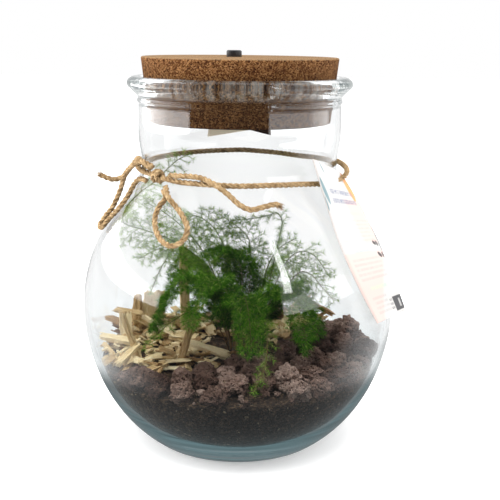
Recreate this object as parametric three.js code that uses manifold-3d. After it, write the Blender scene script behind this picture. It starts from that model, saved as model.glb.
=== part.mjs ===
// Glass plant terrarium: a round-bellied jar with a cork stopper that holds a lamp, twine and a card tag
// round its neck, and inside it soil, lava stones, wood chips and an asparagus fern. Millimetres, +Z up.
// The origin is the centre of the jar's flat foot, on the surface that it stands on.
import * as THREE from "three";
import { mergeVertices } from "three/addons/utils/BufferGeometryUtils.js";
import Module from "manifold-3d";

const wasm = await Module();
wasm.setup();

// Jar
const FOOT_R = 62.5;
const BELLY_R = 111.2;
const BELLY_Z = 98;
const NECK_R = 68.4;
const NECK_Z = 200;
const COLLAR_R = 70.6;
const COLLAR_Z = 224;
const LIP_R = 78;
const LIP_Z = 254.6;
const RIM_Z = 259.4;
const WALL = 3;
const FLOOR_R = 56;
const FLOOR_Z = 6.5;
const AROUND = 32;
const GAP = 0.35;

// Cork stopper and what it holds
const CORK_BOTTOM_Z = 228.7;
const CORK_TOP_Z = 272.6;
const CORK_BOTTOM_R = 63.1;
const CORK_TOP_R = 68;
const CORK_EDGE = 1;
const BUTTON_R = 5.25;
const BUTTON_X = -4.2;
const BUTTON_PROUD = 4.5;
const BUTTON_LENGTH = 13;
const BUTTON_TRAVEL = 1.5;
const RECESS_R = 23;
const RECESS_DEPTH = 20;
const HOLDER_HEIGHT = 6;
const CELL_R = 10;
const CELL_THICK = 3.2;
const CELL_APART = 21.6;
const BOARD_THICK = 1.6;
const LED_R = 2.5;
const PATCH_SIDE = 43;
const PATCH_THICK = 0.7;
const PATCH_HOLE_R = 6;
const PATCH_FRONT = -21.5;
const PATCH_BACK = 27;
const PATCH_CREST = 7;
const PATCH_SAG = 3;
const PATCH_SAG_LEFT = 5;
const PATCH_SAG_RIGHT = 3.4;

// Twine and tag
const TWINE_R = 1.9;
const TWINE_OFF = TWINE_R + 0.5;
const TWINE_STEP = 7.6;
const TAG_THICK = 0.7;

// Bed and fern
const SOIL_Z = 58;
const SOIL_MOUND = 4.5;
const STEM_LEANS_Z = 60;
const BED_DEEP = 5;
const BED_TALL = 90;
const BED_FAR = 140;
const BED_SEAM = 0.6;
const STONE_R = 8;
const STONE_APART = 2.4;
const TIP = { x: 13, y: -91, room: 13 };
const CHIP_EVERY = 19;
const CROWN = [2, 5];
const CROWN_R = 24;
const STEM_R = 1;
const BRANCH_R = 0.62;
const NEEDLE_R = 0.34;
const NEEDLE_LENGTH = 4.6;
const ROOT_Z = 45;
const STEM_STEP = 12;

// One closed mesh as a solid, with shared corners merged and faces that collapsed left out.
function solid(geometry) {
  const bare = geometry.clone();
  bare.deleteAttribute("normal");
  bare.deleteAttribute("uv");
  const merged = mergeVertices(bare, 1e-4);
  const corners = merged.index.array;
  const triVerts = [];
  for (let i = 0; i < corners.length; i += 3) {
    const [a, b, c] = [corners[i], corners[i + 1], corners[i + 2]];
    if (a !== b && b !== c && c !== a) triVerts.push(a, b, c);
  }
  const made = new wasm.Manifold(
    new wasm.Mesh({
      numProp: 3,
      vertProperties: merged.attributes.position.array,
      triVerts: new Uint32Array(triVerts),
    }),
  );
  return made;
}

// A solid as geometry again. Only its largest body is kept: a scrap that a cut sets free is dropped.
function geometryOf(made) {
  const bodies = made.decompose();
  const whole = bodies.reduce((a, b) => (b.volume() > a.volume() ? b : a));
  const mesh = whole.getMesh();
  const geometry = new THREE.BufferGeometry();
  geometry.setAttribute("position", new THREE.BufferAttribute(new Float32Array(mesh.vertProperties), 3));
  geometry.setIndex(new THREE.BufferAttribute(new Uint32Array(mesh.triVerts), 1));
  const flat = geometry.toNonIndexed();
  flat.computeVertexNormals();
  return flat;
}

const fuse = (solids) => solids.reduce((a, b) => a.add(b));

const root = new THREE.Group();
root.name = "glass_plant_terrarium";

function addMesh(name, geometry, color, roughness, metalness = 0) {
  const mesh = new THREE.Mesh(geometry, new THREE.MeshStandardMaterial({ color, roughness, metalness }));
  mesh.name = name;
  root.add(mesh);
  return mesh;
}

const addSolid = (name, made, color, roughness, metalness) =>
  addMesh(name, geometryOf(made), color, roughness, metalness);

// A seeded draw between 0 and 1, the same every time.
function drawFrom(seed) {
  let state = (seed * 7919 + 13) % 2147483647;
  return () => {
    state = (state * 16807) % 2147483647;
    return state / 2147483647;
  };
}

const vec = ([x, y, z]) => new THREE.Vector3(x, y, z);
const plan = (r, z) => new THREE.Vector2(r, z);

// A profile of [radius, height] points turned about the upright axis.
function turned(profile, around = AROUND) {
  const points = profile.map(([r, z]) => plan(r, z));
  return new THREE.LatheGeometry(points, around).rotateX(Math.PI / 2);
}

const disc = (r, z0, z1, around = AROUND) =>
  turned([[0, z0], [r, z0], [r, z1], [0, z1]], around);

const curveOf = (points) => new THREE.CatmullRomCurve3(points.map(vec), false, "catmullrom", 0.5);

// A round tube along hand-chosen points.
function tube(points, radius, sides, steps) {
  const section = new THREE.Shape();
  for (let i = 0; i < sides; i++) {
    const a = (2 * Math.PI * i) / sides;
    section[i ? "lineTo" : "moveTo"](radius * Math.cos(a), radius * Math.sin(a));
  }
  section.closePath();
  return new THREE.ExtrudeGeometry(section, { steps, extrudePath: curveOf(points), bevelEnabled: false });
}

// A three-sided spike from one point to another.
function spike(from, to, radius) {
  const along = to.clone().sub(from);
  const cone = new THREE.ConeGeometry(radius, along.length(), 3);
  cone.translate(0, along.length() / 2, 0);
  const up = new THREE.Vector3(0, 1, 0);
  cone.applyQuaternion(new THREE.Quaternion().setFromUnitVectors(up, along.normalize()));
  return cone.translate(from.x, from.y, from.z);
}

// A thin sheet of even thickness about a grid of points, given row by row. Both faces are split alike.
function sheet(rows, thickness) {
  const high = rows.length;
  const wide = rows[0].length;
  const at = (i, j) => rows[Math.min(Math.max(i, 0), high - 1)][Math.min(Math.max(j, 0), wide - 1)];
  const position = [];
  for (const side of [0.5, -0.5]) {
    for (let i = 0; i < high; i++) {
      for (let j = 0; j < wide; j++) {
        const along = at(i + 1, j).clone().sub(at(i - 1, j));
        const across = at(i, j + 1).clone().sub(at(i, j - 1));
        const normal = across.cross(along).normalize();
        const p = at(i, j).clone().addScaledVector(normal, side * thickness);
        position.push(p.x, p.y, p.z);
      }
    }
  }
  const back = high * wide;
  const index = [];
  const quad = (a, b, c, d) => index.push(a, b, c, a, c, d);
  for (let i = 0; i + 1 < high; i++) {
    for (let j = 0; j + 1 < wide; j++) {
      const [a, b, c, d] = [i * wide + j, i * wide + j + 1, (i + 1) * wide + j + 1, (i + 1) * wide + j];
      quad(a, b, c, d);
      quad(back + a, back + d, back + c, back + b);
    }
  }
  for (let j = 0; j + 1 < wide; j++) {
    quad(j + 1, j, back + j, back + j + 1);
    const end = (high - 1) * wide + j;
    quad(end, end + 1, back + end + 1, back + end);
  }
  for (let i = 0; i + 1 < high; i++) {
    const [a, b] = [i * wide, (i + 1) * wide];
    quad(a, b, back + b, back + a);
    const [c, d] = [a + wide - 1, b + wide - 1];
    quad(d, c, back + c, back + d);
  }
  const geometry = new THREE.BufferGeometry();
  geometry.setAttribute("position", new THREE.Float32BufferAttribute(position, 3));
  geometry.setIndex(index);
  return geometry;
}

// Jar outline: foot to belly and belly to neck are each one smooth curve
const lowSide = new THREE.CubicBezierCurve(
  plan(FOOT_R, 0), plan(FOOT_R + 33.6, 22.7), plan(BELLY_R, BELLY_Z - 34.6), plan(BELLY_R, BELLY_Z),
);
const highSide = new THREE.CubicBezierCurve(
  plan(BELLY_R, BELLY_Z), plan(BELLY_R, BELLY_Z + 59), plan(NECK_R, NECK_Z - 22.2), plan(NECK_R, NECK_Z),
);
const neckSide = new THREE.CubicBezierCurve(
  plan(NECK_R, NECK_Z), plan(NECK_R, NECK_Z + 9), plan(COLLAR_R, COLLAR_Z - 12), plan(COLLAR_R, COLLAR_Z),
);
const pairs = (curve, steps) => curve.getPoints(steps).map((p) => [p.x, p.y]);
const outerSide = [...pairs(lowSide, 6), ...pairs(highSide, 7).slice(1), ...pairs(neckSide, 2).slice(1)];

// Inside, the wall is even from the belly up, and the foot is thick.
const INNER_STEPS = 5;
const innerLow = new THREE.CubicBezierCurve(
  plan(FLOOR_R, FLOOR_Z), plan(FLOOR_R + 29, FLOOR_Z + 8.5), plan(BELLY_R - WALL, BELLY_Z - 41),
  plan(BELLY_R - WALL, BELLY_Z),
);
const innerHigh = new THREE.CubicBezierCurve(
  plan(BELLY_R - WALL, BELLY_Z), plan(BELLY_R - WALL, BELLY_Z + 58), plan(NECK_R - WALL, NECK_Z - 22.2),
  plan(NECK_R - WALL, NECK_Z),
);
const innerNeck = new THREE.CubicBezierCurve(
  plan(NECK_R - WALL, NECK_Z), plan(NECK_R - WALL, NECK_Z + 9), plan(COLLAR_R - WALL, COLLAR_Z - 12),
  plan(COLLAR_R - WALL, COLLAR_Z),
);
const innerSide = [
  ...pairs(innerLow, INNER_STEPS), ...pairs(innerHigh, 5).slice(1), ...pairs(innerNeck, 1).slice(1),
];

// The radius of a side, given as rising [radius, height] points, at a height.
function radiusAt(side, z) {
  const i = Math.max(side.findIndex((p) => p[1] > z), 1);
  const [[r0, z0], [r1, z1]] = [side[i - 1], side[i]];
  return r0 + ((r1 - r0) * (z - z0)) / (z1 - z0);
}

function addJar() {
  const rim = [
    [COLLAR_R - 0.4, RIM_Z - 18],
    [COLLAR_R + 0.7, RIM_Z - 16.4],
    [COLLAR_R + 0.4, RIM_Z - 13.2],
    [LIP_R - 0.8, LIP_Z - 2],
    [LIP_R, LIP_Z],
    [LIP_R - 1, LIP_Z + 2.8],
    [LIP_R - 4.5, RIM_Z],
    [COLLAR_R - 1.8, RIM_Z],
    [COLLAR_R - WALL - 0.6, RIM_Z - 1.4],
  ];
  const profile = [[0, 0], ...outerSide, ...rim, ...innerSide.slice().reverse(), [0, FLOOR_Z]];
  addMesh("jar_glass", turned(profile), "#dfeaea", 0.05);
}

// Cork stopper: a tapered plug with a bore for the button and a recess below for the lamp
const RECESS_TOP_Z = CORK_BOTTOM_Z + RECESS_DEPTH;
const BUTTON_TOP_Z = CORK_TOP_Z + BUTTON_PROUD;
const BUTTON_LOW_Z = BUTTON_TOP_Z - BUTTON_LENGTH;

function addStopper() {
  const plug = turned([
    [0, CORK_BOTTOM_Z],
    [CORK_BOTTOM_R - CORK_EDGE, CORK_BOTTOM_Z],
    [CORK_BOTTOM_R, CORK_BOTTOM_Z + CORK_EDGE],
    [CORK_TOP_R, CORK_TOP_Z - CORK_EDGE],
    [CORK_TOP_R - CORK_EDGE, CORK_TOP_Z],
    [0, CORK_TOP_Z],
  ]);
  const recess = disc(RECESS_R, CORK_BOTTOM_Z - 1, RECESS_TOP_Z, 24);
  const bore = disc(BUTTON_R + GAP, RECESS_TOP_Z - 1, CORK_TOP_Z + 1, 24).translate(BUTTON_X, 0, 0);
  addSolid("cork_lid", solid(plug).subtract(solid(recess)).subtract(solid(bore)), "#b98a58", 0.9);
}

// Lamp: button, switch, holder with two coin cells, board and light. The button is left of the middle.
const HOLDER_TOP_Z = RECESS_TOP_Z - GAP;
const HOLDER_LOW_Z = HOLDER_TOP_Z - HOLDER_HEIGHT;
const BOARD_TOP_Z = HOLDER_LOW_Z - GAP;

function addLamp() {
  addMesh("switch_button", turned([
    [0, BUTTON_LOW_Z],
    [BUTTON_R, BUTTON_LOW_Z],
    [BUTTON_R, BUTTON_TOP_Z - 0.6],
    [BUTTON_R - 0.6, BUTTON_TOP_Z],
    [0, BUTTON_TOP_Z],
  ], 16).translate(BUTTON_X, 0, 0), "#16181a", 0.45);
  const switchTop = BUTTON_LOW_Z - BUTTON_TRAVEL - GAP;
  const body = disc(BUTTON_R, RECESS_TOP_Z, switchTop, 12).translate(BUTTON_X, 0, 0);
  addMesh("switch_body", body, "#23262a", 0.5);
  let holder = solid(disc(RECESS_R - GAP, HOLDER_LOW_Z, HOLDER_TOP_Z, 24));
  for (const side of [-1, 1]) {
    const pocket = disc(CELL_R + GAP, HOLDER_LOW_Z - 1, HOLDER_LOW_Z + CELL_THICK + 2 * GAP, 16);
    holder = holder.subtract(solid(pocket.translate((side * CELL_APART) / 2, 0, 0)));
  }
  addSolid("battery_holder", holder, "#2b2d30", 0.6);
  [-1, 1].forEach((side, i) => {
    const cell = disc(CELL_R, HOLDER_LOW_Z + GAP / 2, HOLDER_LOW_Z + GAP / 2 + CELL_THICK, 16);
    addMesh("coin_cell_" + (i + 1), cell.translate((side * CELL_APART) / 2, 0, 0), "#b9bcc0", 0.3, 1);
  });
  const boardLow = BOARD_TOP_Z - BOARD_THICK;
  addMesh("lamp_board", disc(RECESS_R - 1, boardLow, BOARD_TOP_Z, 24), "#2f5d3a", 0.6);
  addMesh("lamp_led", turned([
    [0, boardLow - GAP - 8],
    [LED_R * 0.7, boardLow - GAP - 7.4],
    [LED_R, boardLow - GAP - 5.8],
    [LED_R, boardLow - GAP - 1.2],
    [LED_R + 0.5, boardLow - GAP - 1.2],
    [LED_R + 0.5, boardLow - GAP],
    [0, boardLow - GAP],
  ], 12), "#f4efd8", 0.2);
}

// Paper patch under the lamp: stuck to the cork along its back edge, and hanging a little lower towards its
// front corners, with its crest right of the middle
function addPatch() {
  const half = PATCH_SIDE / 2;
  const rows = [];
  for (let i = 0; i <= 6; i++) {
    const y = PATCH_FRONT + ((PATCH_BACK - PATCH_FRONT) * i) / 6;
    const row = [];
    for (let j = 0; j <= 9; j++) {
      const x = -half + (PATCH_SIDE * j) / 9;
      const left = Math.max(PATCH_CREST - x, 0) / (PATCH_CREST + half);
      const right = Math.max(x - PATCH_CREST, 0) / (half - PATCH_CREST);
      const sag = PATCH_SAG + PATCH_SAG_LEFT * left + PATCH_SAG_RIGHT * right;
      row.push(new THREE.Vector3(x, y, CORK_BOTTOM_Z - GAP - PATCH_THICK / 2 - sag * (1 - i / 6) ** 1.5));
    }
    rows.push(row);
  }
  const hole = disc(PATCH_HOLE_R, CORK_BOTTOM_Z - 8, CORK_BOTTOM_Z + 1, 16);
  addSolid("paper_patch", solid(sheet(rows, PATCH_THICK)).subtract(solid(hole)), "#8a6238", 0.85);
}

// Twine
// A point off the jar's outside: bearing in degrees from +X, height, distance off the glass.
function offJar(bearing, z, off) {
  const slope = (radiusAt(outerSide, z + 3) - radiusAt(outerSide, z - 3)) / 6;
  const lean = Math.hypot(1, slope);
  const r = radiusAt(outerSide, z) + off / lean;
  const a = THREE.MathUtils.degToRad(bearing);
  return [r * Math.cos(a), r * Math.sin(a), z - (off * slope) / lean];
}

// The band runs from the knot round the front, through the tag's hole, and round the back to the knot.
const KNOT = { bearing: 223, z: 196 };
const bandTable = [
  [226, 195.4, TWINE_OFF],
  [238, 194.2, TWINE_OFF],
  [254, 194, TWINE_OFF],
  [270, 193.6, TWINE_OFF],
  [287, 193.9, TWINE_OFF],
  [303, 193.3, TWINE_OFF],
  [314, 192.2, TWINE_OFF],
  [321, 191.2, 2.9],
  [327, 190.6, 5],
  [333, 191.4, 8],
  [339, 194.5, 9.4],
  [346, 198.5, 7.4],
  [355, 200, 4],
  [366, 200, TWINE_OFF],
  [385, 199.2, TWINE_OFF],
  [409, 198.2, TWINE_OFF],
  [430, 199.2, TWINE_OFF],
  [450, 200, TWINE_OFF],
  [490, 199, TWINE_OFF],
  [527, 198.2, TWINE_OFF],
  [552, 197, TWINE_OFF],
  [568, 196.6, TWINE_OFF],
  [580, 196.4, TWINE_OFF],
];

// The same route with a point at least every few degrees, so that it bends with the neck
const BAND_STEP = 9;
const bandRoute = bandTable.flatMap((from, i) => {
  const to = bandTable[i + 1] ?? from;
  const count = Math.max(Math.round((to[0] - from[0]) / BAND_STEP), 1);
  const between = (k) => from.map((v, j) => v + ((to[j] - v) * k) / count);
  return Array.from({ length: count }, (_, k) => offJar(...between(k)));
});
const TAG_FROM = -58;
const TAG_TO = -2;

const loopLeft = [
  [-56, -48, 202.8],
  [-62.8, -41.9, 205],
  [-67.3, -34, 204.3],
  [-75.1, -24, 197.5],
  [-78.6, -20, 192.1],
  [-82.4, -18, 181.1],
  [-87.5, -18, 170.2],
  [-92.8, -17, 163.5],
  [-96.8, -17, 157.4],
  [-94.5, -24, 156.8],
  [-88.8, -25.5, 163.5],
  [-80.9, -29.2, 172.2],
  [-75.4, -28.1, 179.8],
  [-71, -25.5, 187.8],
  [-67, -29.8, 191.9],
  [-61.5, -39.2, 192.3],
];
const loopFront = [
  [-46.6, -58.4, 191.2],
  [-44.2, -67.4, 186.1],
  [-39.4, -70.9, 181],
  [-35.1, -75.4, 176.4],
  [-31.3, -81.8, 170.1],
  [-32.2, -85.9, 164.1],
  [-36.2, -87.1, 160.2],
  [-41.3, -86.1, 158.5],
  [-47.3, -81.5, 160.6],
  [-51.5, -74.5, 165.9],
  [-52.8, -67.3, 172.8],
  [-50.4, -63.3, 179.3],
  [-46.4, -61.9, 184.7],
  [-48.2, -57.1, 188.7],
];
const tailRight = [
  [-44.2, -57.4, 198.6],
  [-38.2, -60.8, 198.8],
  [-30.2, -65, 199.2],
  [-23.1, -69.6, 198.9],
  [-17.2, -74.2, 197.2],
  [-12.1, -76.4, 194.4],
  [-6, -76.4, 189.8],
  [1.3, -78.1, 183.6],
  [8.5, -79.2, 180.7],
  [15.8, -77.3, 182],
  [23.5, -74.4, 183.4],
  [26.4, -74.5, 182.5],
];
const tailLeft = [
  [-58.3, -41, 200.6],
  [-65.8, -29.1, 204.1],
  [-70, -16.1, 203.6],
  [-76.6, -7, 195.5],
  [-81.8, -5, 189.5],
  [-88.8, -6, 187.5],
  [-97.3, -8, 190.8],
];

function addTwine() {
  const along = (a, b) => Math.hypot(...a.map((v, i) => v - b[i]));
  const lengthOf = (route) => route.slice(1).reduce((sum, p, i) => sum + along(p, route[i]), 0);
  const cord = (route) => tube(route, TWINE_R, 8, Math.round(lengthOf(route) / TWINE_STEP));
  const [x, y, z] = offJar(KNOT.bearing, KNOT.z, TWINE_OFF + 0.7);
  const wraps = [-1.6, 1.8].map((shift) => {
    const wrap = new THREE.TorusGeometry(2.2, 1.5, 5, 8);
    wrap.rotateY(Math.PI / 2).rotateZ(THREE.MathUtils.degToRad(KNOT.bearing - 90));
    const a = THREE.MathUtils.degToRad(KNOT.bearing + 90);
    return wrap.translate(x + shift * Math.cos(a), y + shift * Math.sin(a), z);
  });
  const core = new THREE.IcosahedronGeometry(2.8, 0).translate(x, y, z);
  const bow = [cord(loopLeft), cord(loopFront), cord(tailRight), cord(tailLeft)];
  const clearance = [loopLeft, loopFront, tailRight, tailLeft].map((route) =>
    solid(tube(route, TWINE_R + GAP, 8, Math.round(lengthOf(route) / TWINE_STEP))));
  const band = fuse([solid(cord(bandRoute)), solid(core), ...wraps.map(solid)]);
  addSolid("twine_band", band.subtract(fuse(clearance)), "#b98c55", 0.9);
  ["twine_bow_left", "twine_bow_front", "twine_tail_right", "twine_tail_left"].forEach((name, i) =>
    addMesh(name, bow[i], "#b98c55", 0.9));
}

// Tag: a card that curls over the shoulder. Each row is its left edge and the step across to its right edge.
const tagRows = [
  { left: [47.6, -59.2, 210.4], across: [21, 29, -12.6] },
  { left: [56.6, -60.4, 183.2], across: [26, 27.5, -7.5] },
  { left: [65.2, -72.4, 158.2], across: [27.5, 27, -3.5] },
  { left: [76.8, -76.8, 132.8], across: [27, 28, -0.5] },
  { left: [92.3, -67.4, 103.3], across: [24, 31, 0] },
];

function addTag() {
  const left = curveOf(tagRows.map((row) => row.left));
  const across = curveOf(tagRows.map((row) => row.across));
  const rows = [];
  for (let i = 0; i <= 12; i++) {
    const [from, step] = [left.getPoint(i / 12), across.getPoint(i / 12)];
    rows.push([0, 1].map((s) => from.clone().addScaledVector(step, s)));
  }
  const bearing = (p) => THREE.MathUtils.radToDeg(Math.atan2(p.y, p.x));
  const nearTag = curveOf(bandRoute).getSpacedPoints(160)
    .filter((p) => bearing(p) > TAG_FROM && bearing(p) < TAG_TO)
    .map((p) => p.toArray());
  const passage = solid(tube(nearTag, TWINE_R + GAP, 8, 16));
  addSolid("paper_tag", solid(sheet(rows, TAG_THICK)).subtract(passage), "#f4efec", 0.6);
}

// Fern: each frond is a wiry stem with side branches that carry needles, leafy from a share of its length on.
// Roll in degrees turns the flat of its branches about the stem, from level at 0.
const fronds = [
  {
    name: "fern_arch_left", leafy: 0.3, reach: 19, roll: 60,
    stem: [[-6, 7, 60], [-13, 12, 95], [-29, 14, 124], [-49, 12, 139], [-68, 6, 148], [-83, 0, 155],
      [-80, -3, 167], [-70, -6, 178], [-59, -6, 187], [-51, -4, 195], [-44, 0, 201], [-36, 4, 205]],
  },
  {
    name: "fern_plume_left_high", leafy: 0.5, reach: 24, roll: 70,
    stem: [[-3, 1, 60], [-12, -8, 106], [-25, -13, 137], [-39, -16, 155], [-53, -14, 166], [-64, -10, 171]],
  },
  {
    name: "fern_plume_left_low", leafy: 0.45, reach: 20, roll: 55,
    stem: [[-8, 13, 60], [-21, 26, 91], [-37, 33, 116], [-56, 36, 128], [-77, 34, 120]],
  },
  {
    name: "fern_sprig_left", leafy: 0.5, reach: 7, roll: 0,
    stem: [[-8, 19, 60], [-21, 37, 90], [-36, 46, 117], [-48, 47, 127], [-60, 44, 112], [-69, 38, 92]],
  },
  {
    name: "fern_top_left", leafy: 0.5, reach: 22, roll: 60,
    stem: [[-1, 6, 60], [-4, 10, 96], [-9, 12, 129], [-15, 10, 144], [-21, 6, 153], [-30, 0, 160],
      [-40, -4, 160]],
  },
  {
    name: "fern_top_mid", leafy: 0.45, reach: 22, roll: 50,
    stem: [[2, 11, 60], [8, 15, 102], [8, 16, 136], [2, 13, 147], [-6, 9, 154], [-14, 8, 160]],
  },
  {
    name: "fern_tall_right", leafy: 0.62, reach: 7, roll: 50,
    stem: [[8, 6, 60], [20, 12, 96], [27, 10, 130], [30, 5, 146], [31, 0, 157], [27, -4, 164],
      [20, -6, 162], [8, -8, 160], [-5, -9, 159]],
  },
  {
    name: "fern_right_high", leafy: 0.5, reach: 15, roll: 60,
    stem: [[9, 14, 60], [25, 26, 97], [36, 30, 119], [46, 28, 128], [57, 23, 126], [68, 17, 112]],
  },
  {
    name: "fern_right_low", leafy: 0.5, reach: 16, roll: 50,
    stem: [[12, 9, 60], [28, 13, 92], [43, 11, 115], [53, 8, 116], [61, 4, 108], [70, 0, 99]],
  },
  {
    name: "fern_front_left", leafy: 0.35, reach: 20, roll: 0,
    stem: [[-5, -4, 60], [-12, -21, 97], [-24, -33, 119], [-37, -39, 125], [-49, -42, 112], [-56, -40, 90]],
  },
  {
    name: "fern_front_left_low", leafy: 0.4, reach: 15, roll: 0,
    stem: [[-7, -9, 60], [-16, -26, 89], [-30, -38, 101], [-43, -45, 97], [-54, -48, 88], [-63, -50, 80]],
  },
  {
    name: "fern_front_mid_left", leafy: 0.35, reach: 18, roll: 0,
    stem: [[-1, -8, 60], [-4, -31, 102], [-11, -47, 125], [-20, -56, 125], [-27, -61, 113], [-31, -64, 100]],
  },
  {
    name: "fern_front_mid", leafy: 0.35, reach: 20, roll: 0,
    stem: [[2, -12, 60], [2, -38, 96], [4, -54, 116], [7, -66, 113], [9, -74, 99], [10, -78, 87]],
  },
  {
    name: "fern_front_hanging", leafy: 0.4, reach: 9, roll: 0,
    stem: [[5, -7, 60], [13, -38, 91], [18, -58, 101], [20, -73, 92], [19, -83, 80], [15, -90, 72],
      [11, -95, 66]],
  },
  {
    name: "fern_front_right", leafy: 0.35, reach: 20, roll: 0,
    stem: [[9, -4, 60], [22, -27, 104], [31, -42, 120], [39, -52, 114], [44, -58, 98], [47, -60, 84]],
  },
  {
    name: "fern_right_mid", leafy: 0.35, reach: 19, roll: 0,
    stem: [[11, 1, 60], [26, -6, 97], [38, -12, 110], [48, -17, 104], [54, -21, 92], [58, -24, 82]],
  },
  {
    name: "fern_back_left", leafy: 0.4, reach: 18, roll: 40,
    stem: [[-3, 17, 60], [-18, 46, 95], [-32, 61, 111], [-45, 70, 108], [-54, 74, 95]],
  },
  {
    name: "fern_back_mid", leafy: 0.4, reach: 18, roll: 0,
    stem: [[1, 22, 60], [1, 46, 99], [-1, 60, 117], [-9, 69, 119], [-20, 75, 109]],
  },
  {
    name: "fern_back_right", leafy: 0.4, reach: 18, roll: -40,
    stem: [[6, 19, 60], [20, 47, 98], [31, 62, 112], [42, 70, 107], [52, 73, 93]],
  },
  {
    name: "fern_crown_top", leafy: 0.4, reach: 20, roll: 0,
    stem: [[3, 2, 60], [3, -3, 98], [2, -8, 123], [-3, -14, 136], [-11, -20, 141], [-21, -25, 138]],
  },
  {
    name: "fern_top_right", leafy: 0.4, reach: 18, roll: 40,
    stem: [[6, -1, 60], [15, -3, 98], [21, -4, 124], [27, -6, 136], [33, -8, 142], [40, -9, 146]],
  },
];

// Every stone, chip, stem, branch and needle claims the space round a line, so that fronds stay clear of each
// other.
const claims = [];
const CLEAR = 0.45;

// The shortest distance between two stretches, from a to b and from c to d.
function apart(a, b, c, d) {
  const [u, v, w] = [b.clone().sub(a), d.clone().sub(c), a.clone().sub(c)];
  const [uu, uv, vv, uw, vw] = [u.dot(u), u.dot(v), v.dot(v), u.dot(w), v.dot(w)];
  const clamp = (x) => Math.min(Math.max(x, 0), 1);
  const cross = uu * vv - uv * uv;
  let s = cross > 1e-9 ? clamp((uv * vw - vv * uw) / cross) : 0;
  const t = vv > 1e-9 ? clamp((uv * s + vw) / vv) : 0;
  s = uu > 1e-9 ? clamp((uv * t - uw) / uu) : 0;
  return w.addScaledVector(u, s).addScaledVector(v, -t).length();
}

const isFree = (owner, a, b, r) =>
  claims.every((k) => k.owner === owner || apart(a, b, k.a, k.b) > k.r + r + CLEAR);
const claim = (owner, a, b, r) => claims.push({ owner, a, b, r });

// True where a point lies inside the glass with room to spare.
const inJar = (p, room) => Math.hypot(p.x, p.y) < radiusAt(innerSide, p.z) - room;

// A stem stands upright in the soil, and leans from a little above it.
function stemRoute({ stem }) {
  const [[x, y], [nextX, nextY, nextZ]] = stem;
  const rise = [x + 0.12 * (nextX - x), y + 0.12 * (nextY - y), STEM_LEANS_Z + 0.3 * (nextZ - STEM_LEANS_Z)];
  return [[x, y, ROOT_Z], [x, y, STEM_LEANS_Z], rise, ...stem.slice(1)];
}
const stemSteps = (frond) => Math.round(curveOf(stemRoute(frond)).getLength() / STEM_STEP);

// The straight stretches that a stem's tube is made of.
const stemLine = (frond) => curveOf(stemRoute(frond)).getSpacedPoints(stemSteps(frond));

// A point on such a line, at a share of its length, and the line's direction there.
function onLine(line, share) {
  const place = share * (line.length - 1);
  const i = Math.min(Math.floor(place), line.length - 2);
  return [line[i].clone().lerp(line[i + 1], place - i), line[i + 1].clone().sub(line[i]).normalize()];
}

function claimStem(frond) {
  const line = stemLine(frond);
  line.slice(1).forEach((p, i) => claim(frond.name, line[i], p, STEM_R));
}

// Side branches are longest a third of the way along the leafy part and shorten to the tip.
const branchShape = (u) => Math.min(0.45 + 1.8 * u, 1) * Math.pow(1 - u, 0.6) + 0.12;

const BRANCH_EVERY = 13.5;
const NEEDLE_TURN = 2.4;
const up = new THREE.Vector3(0, 0, 1);

function growFrond(frond, seed) {
  const draw = drawFrom(seed);
  const line = stemLine(frond);
  const length = curveOf(stemRoute(frond)).getLength();
  const solids = [solid(tube(stemRoute(frond), STEM_R, 4, stemSteps(frond)))];
  const rootShare = (STEM_LEANS_Z - ROOT_Z) / length;
  const bare = rootShare + (1 - rootShare) * frond.leafy;
  const roll = THREE.MathUtils.degToRad(frond.roll);
  // Grows one spike where there is room, shortened until it fits, and tells whether it grew.
  const grow = (from, heading, reach, radius) => {
    for (let tries = 0; tries < 5; tries++) {
      const tip = from.clone().addScaledVector(heading, reach * 0.7 ** tries);
      if (inJar(tip, 1.5) && isFree(frond.name, from, tip, radius)) {
        claim(frond.name, from, tip, radius);
        solids.push(solid(spike(from, tip, radius)));
        return;
      }
    }
  };
  const count = Math.round((2 * length * (1 - bare)) / BRANCH_EVERY);
  for (let i = 0; i < count; i++) {
    const u = (i + 0.5) / count;
    const [at, axis] = onLine(line, bare + (1 - bare) * u);
    const side = axis.clone().cross(up).normalize().applyAxisAngle(axis, roll).multiplyScalar(i % 2 ? 1 : -1);
    const spread = 0.75 + 0.35 * draw();
    const rise = 0.35 * (draw() - 0.45);
    const heading = side.clone().multiplyScalar(Math.sin(spread)).addScaledVector(axis, Math.cos(spread));
    heading.addScaledVector(up, rise).normalize();
    grow(at, heading, frond.reach * branchShape(u) * (0.85 + 0.3 * draw()), BRANCH_R);
    const [low, along] = onLine(line, bare + ((1 - bare) * (i + 1)) / (count + 1));
    const across = along.clone().cross(up).normalize().applyAxisAngle(along, NEEDLE_TURN * i);
    grow(low, across.multiplyScalar(0.8).addScaledVector(along, 0.6), NEEDLE_LENGTH, NEEDLE_R);
  }
  addSolid(frond.name, fuse(solids), "#3f7a2c", 0.7);
}

// Soil, with a plain hole for each stem
const soilTop = (r) => SOIL_Z + SOIL_MOUND * (1 - (r / 100) ** 2);
const bedFloor = (gap) => [0, 35, 70, 90].map((r) => [r, soilTop(r) + gap]);

function addSoil() {
  const side = pairs(innerLow, INNER_STEPS).filter(([, z]) => z < SOIL_Z - 4);
  const inset = side.map(([r, z], i) => [r - GAP * (i ? 1.1 : 1), z + GAP]);
  const edge = [radiusAt(innerSide, SOIL_Z) - GAP * 1.1, SOIL_Z];
  const profile = [[0, FLOOR_Z + GAP], ...inset, edge, ...bedFloor(0).reverse()];
  let soil = solid(turned(profile));
  for (const { stem } of fronds) {
    const hole = disc(STEM_R + 1.2, ROOT_Z - GAP, SOIL_Z + 5, 5).translate(stem[0][0], stem[0][1], 0);
    soil = soil.subtract(solid(hole));
  }
  addSolid("soil", soil, "#2f231d", 0.95);
}

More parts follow.
